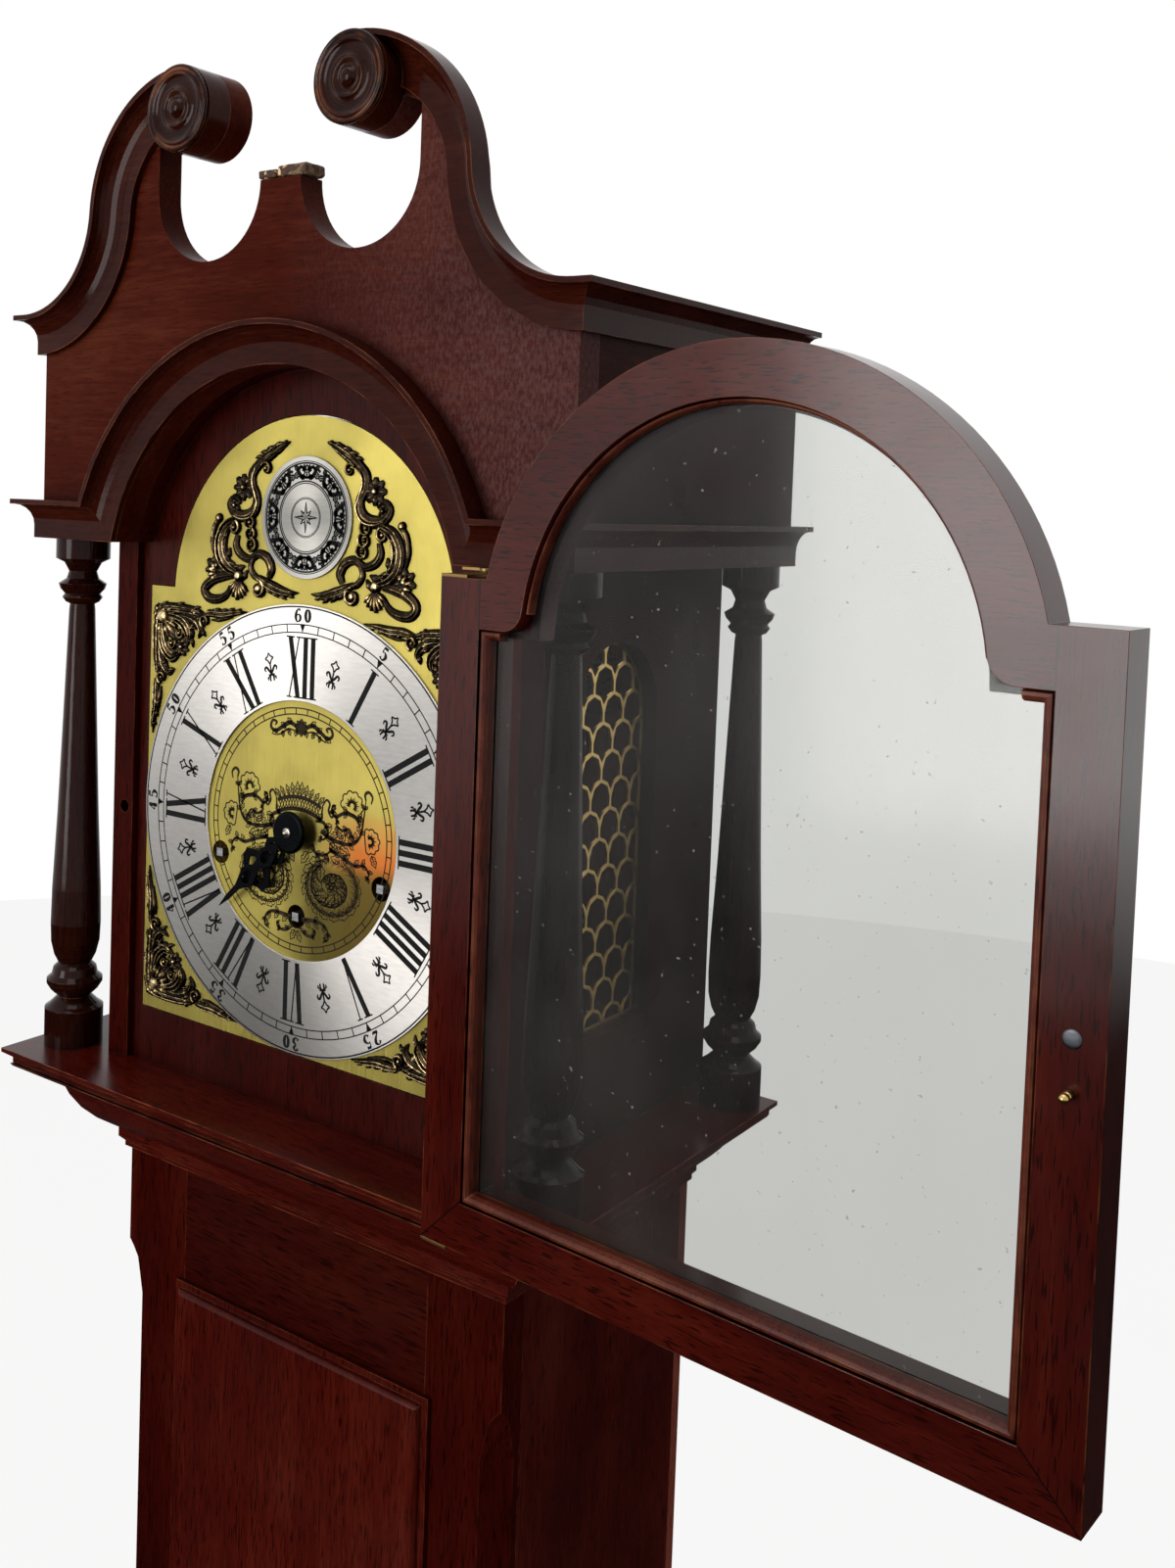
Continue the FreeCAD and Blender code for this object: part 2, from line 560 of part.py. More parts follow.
def scale_hole(middle, foot):
    """One gap of the fish-scale fret: a scallop over the two below it, as (y, z) points."""
    half = v.scale_pitch / 2
    outer = half - v.fret_bar / 2
    lower = half + v.fret_bar / 2
    row = scale_row()
    top_turns = (0, 45, 90, 135, 180)
    low_turns = (95, 126)
    tip = (middle, foot - row + math.sqrt(lower ** 2 - half ** 2))
    points = [(middle + outer * math.cos(math.radians(a)), foot + outer * math.sin(math.radians(a)))
              for a in top_turns]
    points += [(middle - half - lower * math.cos(math.radians(a)),
                foot - row + lower * math.sin(math.radians(a)))
               for a in low_turns]
    points.append(tip)
    points += [(middle + half + lower * math.cos(math.radians(a)),
                foot - row + lower * math.sin(math.radians(a)))
               for a in reversed(low_turns)]
    return points


def scale_row():
    row_share = 0.80
    return v.scale_pitch * row_share


def frets():
    """Pierced brass fish-scale fret behind each window."""
    inner = HOOD_HALF - v.board_thick
    plate = side_solid(window_parts(v.fret_margin), inner - v.fret_thick, inner)
    sight = side_solid(window_parts(-v.fret_bar), inner - v.fret_thick - v.overrun, inner + v.overrun)
    middle = REAR - v.window_setback
    foot = DIAL_Z - v.window_foot
    rows = int((v.window_foot + v.window_head) / scale_row()) + 1
    columns = int(v.window_width / v.scale_pitch / 2) + 1
    holes = []
    for row in range(rows + 1):
        shift = v.scale_pitch / 2 * (row % 2)
        for column in range(-columns, columns + 1):
            points = scale_hole(middle + shift + column * v.scale_pitch, foot + row * scale_row())
            hole = side_solid(loop(points), inner - v.fret_thick - v.overrun,
                              inner + v.overrun).common(sight)
            if hole.Volume > v.fret_thick * v.fret_bar ** 2:
                holes.append(hole)
    right = plate.cut(holes)
    feature("side_frets", Part.makeCompound([right, mirrored(right)]))


def tympanum():
    """Front board of the hood: door arch below, swan-neck outline and two round cuts above."""
    spring = math.sqrt(v.frieze_arch_radius ** 2 - (SOFFIT - ARCH_Z) ** 2)
    start = math.degrees(math.asin((SOFFIT - ARCH_Z) / v.frieze_arch_radius))
    low_x, low_z = v.swan_low_x, DIAL_Z + v.swan_low_rise
    high_x, high_z = v.swan_high_x, DIAL_Z + v.swan_high_rise
    low_r, high_r, turn = swan_radii()
    middle = v.cornice_height / 2
    low_mid, high_mid = low_r + middle, high_r - middle
    edge_drop = math.sqrt(low_mid ** 2 - (low_x - FRIEZE_HALF) ** 2)
    edge_turn = 180 + math.degrees(math.atan2(edge_drop, low_x - FRIEZE_HALF))
    scroll = (v.scroll_x, DIAL_Z + v.scroll_rise)
    cut_x, cut_z = v.cut_x, DIAL_Z + v.cut_rise
    outer_cut = cut_x + v.cut_radius
    inner_cut = cut_x - v.cut_radius
    neck = (outer_cut, scroll[1] - v.scroll_radius / 2)
    right = [line((spring, SOFFIT), (FRIEZE_HALF, SOFFIT)),
             line((FRIEZE_HALF, SOFFIT), (FRIEZE_HALF, low_z - edge_drop)),
             arc((low_x, low_z), low_mid, 180 + turn, edge_turn),
             arc((high_x, high_z), high_mid, turn, 90),
             line((high_x, high_z + high_mid), scroll), line(scroll, neck), line(neck, (outer_cut, cut_z)),
             arc((cut_x, cut_z), v.cut_radius, 180, 360), line((inner_cut, cut_z), (0, cut_z)),
             line((0, cut_z), (0, ARCH_Z + v.frieze_arch_radius)),
             arc((0, ARCH_Z), v.frieze_arch_radius, start, 90)]
    half = front_solid(right, FRIEZE_FRONT, TYMPANUM_REAR)
    disc = rod(v.scroll_radius, Vector(scroll[0], FRIEZE_FRONT, scroll[1]),
               Vector(scroll[0], TYMPANUM_REAR, scroll[1]))
    half = half.fuse(disc)
    feature("tympanum", half.fuse(mirrored(half)).removeSplitter())


def swan_radii():
    """Radii of the low and high curves of a swan neck, which meet on the line between their centres."""
    across = v.swan_low_x - v.swan_high_x
    up = v.swan_low_rise - v.swan_high_rise
    high_r = math.hypot(across, up) - v.swan_low_radius
    return v.swan_low_radius, high_r, math.degrees(math.atan2(up, across))


def cornice_profile():
    """Cornice section as (projection, height) points: foot fillet, cove, lip."""
    foot, reach = v.cornice_foot, v.cornice_projection
    height, lip = v.cornice_height, v.cornice_lip
    cove_foot_share = 0.34
    brow_share = 0.6
    cove_foot = height * cove_foot_share
    cove_steps = 5
    cove = []
    for step in range(cove_steps + 1):
        turn = math.pi / 2 * step / cove_steps
        cove.append((foot + (reach - foot - lip * brow_share) * (1 - math.cos(turn)),
                     cove_foot + (height - lip - cove_foot) * math.sin(turn)))
    return [(0, 0), (foot, 0)] + cove + [(reach, height - lip), (reach, height), (0, height)]


def profile_face(points, to_space):
    corners = [to_space(out, up) for out, up in points]
    return Part.Face(Part.makePolygon(corners + corners[:1]))


def swan_necks():
    """Swan-neck moulding, its return along the side, and the turned rosette, for each half."""
    low_r, high_r, turn = swan_radii()
    low_x, low_z = v.swan_low_x, DIAL_Z + v.swan_low_rise
    high_x, high_z = v.swan_high_x, DIAL_Z + v.swan_high_rise
    profile = cornice_profile()
    front = FRIEZE_FRONT
    height = v.cornice_height
    reach = v.cornice_projection
    low_face = profile_face(profile, lambda out, up: Vector(low_x, front - out, low_z - low_r - height + up))
    low = low_face.revolve(Vector(low_x, 0, low_z), Vector(0, 1, 0), 90 - turn)
    high_face = profile_face(profile, lambda out, up: Vector(high_x, front - out,
                                                             high_z + high_r - height + up))
    high = high_face.revolve(Vector(high_x, 0, high_z), Vector(0, 1, 0), 90 - turn)
    straight = low_face.extrude(Vector(FRIEZE_HALF + reach + v.overrun - low_x, 0, 0))
    side_face = profile_face(profile, lambda out, up: Vector(FRIEZE_HALF + out, REAR, FRIEZE_TOP + up))
    side = side_face.extrude(Vector(0, front - reach - v.overrun - REAR, 0))
    mitre = [Vector(FRIEZE_HALF, front, FRIEZE_TOP - v.overrun),
             Vector(FRIEZE_HALF + 2 * reach, front - 2 * reach, FRIEZE_TOP - v.overrun),
             Vector(FRIEZE_HALF + 2 * reach, REAR + v.overrun, FRIEZE_TOP - v.overrun),
             Vector(FRIEZE_HALF, REAR + v.overrun, FRIEZE_TOP - v.overrun)]
    keep = Part.Face(Part.makePolygon(mitre + mitre[:1])).extrude(Vector(0, 0, height + 2 * v.overrun))
    side = side.common(keep)
    front_run = low.fuse(straight).cut(keep)
    centre = Vector(v.scroll_x, front, DIAL_Z + v.scroll_rise)
    face_y = front - reach - v.fret_thick
    scroll = rod(v.scroll_radius, centre, Vector(centre.x, face_y, centre.z))
    rosette = rosette_shape(centre.x, face_y, centre.z)
    right = front_run.fuse([side, high, scroll, rosette])
    feature("swan_neck_right", right)
    feature("swan_neck_left", mirrored(right))


def rosette_shape(x, y, z):
    """Turned rosette: a rim, a hollow and a centre button."""
    rim, eye, rise = v.rosette_radius, v.rosette_eye, v.rosette_rise
    shares = ((0.0, 1.6), (0.10, 1.6), (eye / rim, 0.6), (0.45, 0.5), (0.52, 1.2), (0.62, 0.4), (0.84, 0.5),
              (0.90, 1.0), (1.0, 0.9), (1.0, 0.0), (0.0, 0.0))
    points = [Vector(x + rim * out, y - rise * up, z) for out, up in shares]
    return Part.Face(Part.makePolygon(points + points[:1])).revolve(Vector(x, 0, z), Vector(0, 1, 0), 360)


def lower_cornice():
    """Cornice round the hood below the frieze, mitred into the moulding of the door's arch."""
    profile = cornice_profile()
    height = v.cornice_height
    radius = v.frieze_arch_radius
    wide = radius + height
    inner = math.sqrt(radius ** 2 - (SOFFIT - ARCH_Z) ** 2)
    outer = math.sqrt(wide ** 2 - (SOFFIT + height - ARCH_Z) ** 2)
    level = u_sweep(profile, FRIEZE_HALF, FRIEZE_FRONT, REAR, SOFFIT)
    slope = (outer - inner) / height
    low, high = SOFFIT - v.overrun, SOFFIT + height + v.overrun
    gap = [(-inner + slope * v.overrun, low), (inner - slope * v.overrun, low),
           (outer + slope * v.overrun, high), (-outer - slope * v.overrun, high)]
    between = front_solid(loop(gap), FRIEZE_FRONT - 2 * v.cornice_projection, FRIEZE_FRONT + v.overrun)
    level = level.cut(between)
    face = profile_face(profile, lambda out, up: Vector(radius + up, FRIEZE_FRONT - out, ARCH_Z))
    arch = face.revolve(Vector(0, 0, ARCH_Z), Vector(0, -1, 0), 180)
    above = [(-inner + slope * v.overrun, low), (inner - slope * v.overrun, low), (outer, SOFFIT + height),
             (outer, ARCH_Z + wide + v.overrun), (-outer, ARCH_Z + wide + v.overrun),
             (-outer, SOFFIT + height)]
    arch = arch.common(front_solid(loop(above), FRIEZE_FRONT - 2 * v.cornice_projection,
                                   FRIEZE_FRONT + v.overrun))
    arch = arch.cut(box_shape((-wide - v.overrun, FRIEZE_FRONT - 2 * v.cornice_projection, ARCH_Z - wide),
                              (wide + v.overrun, FRIEZE_FRONT + v.overrun, SOFFIT)))
    feature("lower_cornice", level.fuse(arch).removeSplitter())


def hood_front():
    """Door jambs with the head behind the tympanum, and the dial mask between them."""
    jamb_inner = HOOD_HALF - v.jamb_width
    rear = JAMB_FRONT + v.jamb_depth
    shape = box_shape((jamb_inner, JAMB_FRONT, HOOD_FLOOR), (HOOD_HALF, rear, SOFFIT))
    catch = Vector(v.hood_door_width / 2 - v.stile_width / 2, JAMB_FRONT, DIAL_Z - v.catch_fall)
    hole = rod(v.hinge_pin_radius + 2 * v.ring_wire_radius, catch, catch + Vector(0, v.jamb_depth / 2, 0))
    left = mirrored(shape.cut(hole))
    feature("hood_jambs", Part.makeCompound([shape, left]))

    half = jamb_inner
    mask_rear = MASK_FRONT + v.mask_thick
    lining_outer = v.frieze_arch_radius + v.cornice_foot
    panel = front_solid(arch_outline(half, HOOD_FLOOR, SOFFIT, lining_outer, ARCH_Z), MASK_FRONT, mask_rear)
    opening = front_solid(arch_outline(MASK_HALF, DIAL_Z - MASK_FOOT, DIAL_Z + v.shoulder_rise + v.slide_gap,
                                       v.dial_arch_radius + v.slide_gap, ARCH_Z),
                          MASK_FRONT - v.overrun, mask_rear + v.overrun)
    tube = rod(lining_outer, Vector(0, TYMPANUM_REAR, ARCH_Z), Vector(0, MASK_FRONT, ARCH_Z))
    bore = rod(v.frieze_arch_radius, Vector(0, TYMPANUM_REAR - v.overrun, ARCH_Z),
               Vector(0, MASK_FRONT, ARCH_Z))
    keep = box_shape((-2 * half, TYMPANUM_REAR, SOFFIT), (2 * half, mask_rear, CORNICE_TOP))
    lining = tube.cut(bore).common(keep)
    feature("dial_mask", panel.cut(opening).fuse(lining).removeSplitter())


def roof_and_cap():
    board("hood_roof", (-FRIEZE_HALF, TYMPANUM_REAR, CORNICE_TOP - v.roof_thick), (0, REAR, CORNICE_TOP),
          ("frieze_width", None, "roof_thick"))
    cut_top = DIAL_Z + v.cut_rise
    board("plinth_cap", (-v.cap_width / 2, FRIEZE_FRONT, cut_top), (0, 0, 0),
          ("cap_width", "tympanum_thick", "cap_height"))


def column_profile():
    """Bulbous column between turned rings as (radius, height) points from the hood's base up."""
    span = SOFFIT - HOOD_FLOOR
    drum, foot, head = v.drum_radius, v.shaft_foot_radius, v.shaft_head_radius
    ring = drum - (drum - foot) / 3
    turn_shares = ((drum, 0.0), (drum, 0.072), (foot, 0.078), (foot * 0.66, 0.094), (ring * 0.86, 0.108),
                   (ring, 0.120), (ring, 0.129), (foot * 0.92, 0.137), (foot * 0.86, 0.151),
                   (foot * 0.66, 0.160),
                   (foot * 0.84, 0.177), (foot * 0.97, 0.203), (foot, 0.240), (foot * 0.97, 0.310),
                   (foot * 0.82, 0.464), (foot * 0.66, 0.676), (head * 1.05, 0.862), (head, 0.872),
                   (head * 1.34, 0.876), (head * 1.62, 0.885), (head * 1.42, 0.892), (ring * 0.80, 0.902),
                   (ring * 0.86, 0.912), (head * 1.3, 0.922), (head * 1.12, 0.936), (head * 1.5, 0.953),
                   (drum * 0.92, 0.961), (drum * 0.92, 1.0))
    points = [(radius, span * share) for radius, share in turn_shares]
    return [(0, 0)] + points + [(0, span)]


def columns():
    for end, y in (("front", COLUMN_FRONT_Y), ("rear", COLUMN_REAR_Y)):
        for side, x in (("left", -COLUMN_X), ("right", COLUMN_X)):
            turned("column_%s_%s" % (end, side), column_profile(), (x, y, HOOD_FLOOR))


# Hood door.
DOOR_REAR = JAMB_FRONT - v.hood_door_gap
DOOR_FRONT = DOOR_REAR - v.hood_door_thick
LEAF_GAP = v.fitting_thick * 2 + v.seat_gap
DOOR_FOOT = HOOD_FLOOR + LEAF_GAP
DOOR_SHOULDER = SOFFIT - LEAF_GAP
HOOD_HINGE = Vector(v.hood_door_width / 2, DOOR_FRONT - v.hinge_stand, 0)
DOOR_OPEN = FreeCAD.Placement(Vector(0, 0, 0), FreeCAD.Rotation(Vector(0, 0, 1), v.hood_door_angle),
                              HOOD_HINGE)


def opened(obj):
    """Swings a piece of the closed door out to where it rests open."""
    obj.Placement = DOOR_OPEN.multiply(obj.Placement)
    return obj


def sight_outline(margin, lobe=0.0):
    """Outline of the door's glass opening, grown by a margin."""
    half = v.hood_door_width / 2 - v.stile_width + margin
    foot = DOOR_FOOT + v.door_rail_height - margin
    shoulder = DIAL_Z + v.shoulder_rise + margin
    return arch_outline(half, foot, shoulder, v.sight_arch_radius + margin, ARCH_Z, lobe)


def hood_door():
    """Break-arch door frame with a rebate that holds the glass."""
    outline = arch_outline(v.hood_door_width / 2, DOOR_FOOT, DOOR_SHOULDER, v.hood_door_arch, ARCH_Z)
    body = pad_body("hood_door", "XZ_Plane", outline, "hood_door_thick", (0, DOOR_REAR, 0))
    before = body.Shape.Volume
    pocket(body, "sight", "XZ_Plane", sight_outline(-v.glass_rebate), "hood_door_thick", True)
    pocket(body, "rebate", "XZ_Plane", sight_outline(0, v.arch_lobe), "glass_depth", True)
    assert body.Shape.Volume < before
    opened(body)
    glass_rear = DOOR_REAR - v.glass_depth + v.glass_thick
    glass = front_solid(sight_outline(-v.seat_gap), glass_rear - v.glass_thick, glass_rear)
    opened(feature("hood_door_glass", glass))


def crank_leaf(z, pin_low, pin_high):
    """Flat leaf on the end of the door, cranked out to its pivot pin."""
    edge = HOOD_HINGE.x
    low = box_shape((edge - v.leaf_width, DOOR_FRONT, z), (edge, DOOR_REAR, z + v.fitting_thick))
    arm = box_shape((edge - v.leaf_width / 2, HOOD_HINGE.y, z), (edge, DOOR_FRONT, z + v.fitting_thick))
    knuckle = rod(v.leaf_width / 4, Vector(edge, HOOD_HINGE.y, z),
                  Vector(edge, HOOD_HINGE.y, z + v.fitting_thick))
    pin = rod(v.hinge_pin_radius, Vector(edge, HOOD_HINGE.y, pin_low), Vector(edge, HOOD_HINGE.y, pin_high))
    return low.fuse([arm, knuckle, pin]).removeSplitter()


def hood_door_fittings():
    """Door leaves with pins, the catch stud on the free stile, and the plate of the ring pull."""
    foot_leaf = DOOR_FOOT - v.fitting_thick
    shoulder_leaf = DOOR_SHOULDER
    leaves = [crank_leaf(foot_leaf, foot_leaf - v.fitting_thick, foot_leaf + v.fitting_thick),
              crank_leaf(shoulder_leaf, shoulder_leaf, SOFFIT - v.seat_gap)]
    stud_x = -v.hood_door_width / 2 + v.stile_width / 2
    z = DIAL_Z - v.catch_fall
    studs = [rod(v.hinge_pin_radius, Vector(stud_x, DOOR_REAR, z),
                 Vector(stud_x, DOOR_REAR + v.catch_length, z))]
    boss = Vector(stud_x, DOOR_FRONT, DIAL_Z + v.ring_pull_drop)
    plate = rod(v.knob_radius, boss, boss + Vector(0, -v.fitting_thick, 0))
    post_y = ring_axis_y()
    post = rod(2 * v.ring_wire_radius, boss, Vector(boss.x, post_y - 2 * v.ring_wire_radius, boss.z))
    eye = rod(v.ring_wire_radius + v.running_gap, Vector(boss.x - v.knob_radius, post_y, boss.z),
              Vector(boss.x + v.knob_radius, post_y, boss.z))
    item = feature("hood_door_fittings", Part.makeCompound(leaves + studs + [plate.fuse(post).cut(eye)]))
    opened(item)


def ring_axis_y():
    return DOOR_FRONT - v.fitting_thick - 2 * v.ring_wire_radius


def ring_pull():
    """Small ring that hangs in its eye on the face of the door."""
    stud_x = -v.hood_door_width / 2 + v.stile_width / 2
    z = DIAL_Z + v.ring_pull_drop
    y = ring_axis_y()
    wire = v.ring_wire_radius
    radius = v.ring_pull_radius
    eye_share = 2.4
    flat = math.degrees(math.asin(eye_share * wire / radius))
    ring = Part.makeTorus(radius, wire, Vector(0, 0, 0), Vector(0, 0, 1), 0, 360, 360 - 2 * flat)
    ring.rotate(Vector(0, 0, 0), Vector(0, 0, 1), 90 + flat)
    ring.rotate(Vector(0, 0, 0), Vector(1, 0, 0), 90)
    rise = radius * math.cos(math.radians(flat))
    ring.translate(Vector(stud_x, y, z - rise))
    half = radius * math.sin(math.radians(flat))
    bar = rod(wire, Vector(stud_x - half, y, z), Vector(stud_x + half, y, z))
    opened(feature("ring_pull", ring.fuse(bar)))


def hinge_brackets():
    """Hood leaves of the two crank hinges, drilled for the pins."""
    brackets = []
    for z in (HOOD_FLOOR, SOFFIT - v.fitting_thick):
        edge = HOOD_HINGE.x
        leaf = box_shape((edge - v.leaf_width, HOOD_HINGE.y, z),
                         (edge, DOOR_FRONT + v.leaf_width, z + v.fitting_thick))
        knuckle = rod(v.leaf_width / 4, Vector(edge, HOOD_HINGE.y, z),
                      Vector(edge, HOOD_HINGE.y, z + v.fitting_thick))
        hole = rod(v.hinge_pin_radius + v.running_gap, Vector(edge, HOOD_HINGE.y, z - v.overrun),
                   Vector(edge, HOOD_HINGE.y, z + v.fitting_thick + v.overrun))
        brackets.append(leaf.fuse(knuckle).cut(hole))
    feature("hinge_brackets", Part.makeCompound(brackets))


# Dial.
def front_plate_shape(y_front, y_rear):
    outline = arch_outline(v.dial_width / 2, DIAL_Z - v.dial_foot, DIAL_Z + v.shoulder_rise,
                           v.dial_arch_radius, ARCH_Z)
    return front_solid(outline, y_front, y_rear)


def front_rod(radius, x, rise, near, far):
    """A rod along the depth between two distances behind the chapter ring's face."""
    return rod(radius, Vector(x, DIAL_Y + near, DIAL_Z + rise), Vector(x, DIAL_Y + far, DIAL_Z + rise))


def winding_places():
    return ((-v.winding_x, v.winding_rise), (0.0, v.centre_winding_rise), (v.winding_x, v.winding_rise))


def dial():
    """Dial plate with its holes, chapter ring, arch boss and the cast corner and arch ornaments."""
    near, far = v.ring_thick, v.ring_thick + v.dial_thick
    holes = [front_rod(v.winding_hole_radius, x, rise, 0, far + v.overrun) for x, rise in winding_places()]
    holes.append(front_rod(v.pipe_radius + v.slide_gap, 0, 0, 0, far + v.overrun))
    feature("dial_plate", front_plate_shape(DIAL_Y + near, DIAL_Y + far).cut(holes))
    ring = front_rod(v.ring_outer_radius, 0, 0, 0, near)
    feature("chapter_ring", ring.cut(front_rod(v.ring_inner_radius, 0, 0, -v.overrun, near + v.overrun)))
    feature("arch_boss", front_rod(v.boss_radius, 0, v.boss_rise, 0, near))

    margin = v.spandrel_margin
    half = v.dial_width / 2 - margin
    corners = box_shape((-half, DIAL_Y + near - v.spandrel_thick, DIAL_Z - half),
                        (half, DIAL_Y + near, DIAL_Z + half))
    corners = corners.cut(front_rod(v.ring_outer_radius + margin, 0, 0, -v.spandrel_thick, far))
    arch = front_rod(v.dial_arch_radius - 2 * margin, 0, v.arch_centre_rise, near - v.spandrel_thick, near)
    arch = arch.cut([box_shape((-half, DIAL_Y - 2 * v.spandrel_thick, DIAL_Z - half),
                               (half, DIAL_Y + far, DIAL_Z + v.shoulder_rise + margin)),
                     front_rod(v.boss_radius + margin, 0, v.boss_rise, -v.spandrel_thick, far),
                     box_shape((-v.boss_radius / 2, DIAL_Y - 2 * v.spandrel_thick, DIAL_Z),
                               (v.boss_radius / 2, DIAL_Y + far, DIAL_Z + 2 * v.boss_rise))])
    feature("spandrels", Part.makeCompound(corners.Solids + arch.Solids))


def hand_shape(length, near, clock_angle, outline_shares, hole_shares):
    """Flat pierced hand drawn in shares of its length and turned to a clock angle."""
    outline = [(length * out, length * along) for along, out in outline_shares]
    outline += [(-length * out, length * along) for along, out in reversed(outline_shares) if out > 0]
    shape = front_solid(loop(outline), 0, v.hand_thick)
    cuts = []
    for along, out, half in hole_shares:
        points = [(length * out * math.sin(math.radians(a)),
                   length * (along - half * math.cos(math.radians(a))))
                  for a in range(0, 360, 45)]
        cuts.append(front_solid(loop(points), -v.overrun, v.hand_thick + v.overrun))
    shape = shape.cut(cuts)
    shape = shape.fuse(rod(v.hub_radius, Vector(0, 0, 0), Vector(0, v.hand_thick, 0)))
    shape.rotate(Vector(0, 0, 0), Vector(0, 1, 0), clock_angle)
    shape.translate(Vector(0, DIAL_Y + near, DIAL_Z))
    return shape


def hands():
    """Black pierced hands; the minute hand carries the round collet and its pin."""
    hour_shares = ((0.0, 0.045), (0.17, 0.036), (0.24, 0.10), (0.32, 0.150), (0.41, 0.10), (0.47, 0.060),
                   (0.53, 0.15), (0.61, 0.225), (0.70, 0.20), (0.77, 0.10), (0.83, 0.042), (0.92, 0.030),
                   (1.0, 0.0))
    hour_hole_shares = ((0.325, 0.085, 0.080), (0.635, 0.140, 0.085))
    minute_shares = ((0.0, 0.034), (0.18, 0.024), (0.25, 0.055), (0.33, 0.080), (0.41, 0.052), (0.46, 0.026),
                     (0.53, 0.062), (0.60, 0.082), (0.67, 0.050), (0.74, 0.024), (0.88, 0.020), (1.0, 0.0))
    minute_hole_shares = ((0.33, 0.042, 0.065), (0.60, 0.046, 0.066))
    near_hour = -v.hour_hand_stand
    near_minute = -v.minute_hand_stand
    hour = hand_shape(v.hour_hand_length, near_hour, v.hour_hand_angle, hour_shares,
                      hour_hole_shares)
    hour = hour.cut(front_rod(v.centre_arbor_radius + v.running_gap, 0, 0, near_hour - v.overrun, 0))
    feature("hour_hand", hour)
    minute = hand_shape(v.minute_hand_length, near_minute, v.minute_hand_angle, minute_shares,
                        minute_hole_shares)
    collet = front_rod(v.collet_radius, 0, 0, near_minute - v.collet_rise, near_minute)
    rim = [edge for edge in collet.Edges if edge.BoundBox.YMax < DIAL_Y + near_minute - v.running_gap]
    collet = collet.makeFillet(v.collet_rise * v.round_share, rim)
    pin = front_rod(v.hinge_pin_radius, 0, 0, near_minute - v.collet_rise - v.hinge_pin_radius, near_minute)
    feature("minute_hand", minute.fuse([collet, pin]).removeSplitter())


# Movement.
def gear(teeth, radius, x, rise, near, thick, phase):
    """Toothed disc in the plane of the dial, with one tooth at the phase angle."""
    module = 2 * radius / teeth
    pitch = 360.0 / teeth
    high, low = radius + module * v.addendum_share, radius - module * v.dedendum_share
    tip, root = pitch * v.tip_share, pitch * v.root_share
    points = []
    for number in range(int(teeth)):
        middle = phase + pitch * number
        for turn, reach in ((-root, low), (-tip, high), (tip, high), (root, low)):
            angle = math.radians(middle + turn)
            points.append((x + reach * math.cos(angle), DIAL_Z + rise + reach * math.sin(angle)))
    return front_solid(loop(points), DIAL_Y + near, DIAL_Y + near + thick)


def third_place():
    """Third arbor, at its two mesh distances from the centre and the escape arbors."""
    rise = (v.third_distance ** 2 + v.escape_rise ** 2 - v.escape_distance ** 2) / (2 * v.escape_rise)
    return math.sqrt(v.third_distance ** 2 - rise ** 2), rise


def share_radius(distance, teeth, other):
    return distance * teeth / (teeth + other)


def facing(x, rise, to_x, to_rise):
    return math.degrees(math.atan2(to_rise - rise, to_x - x))


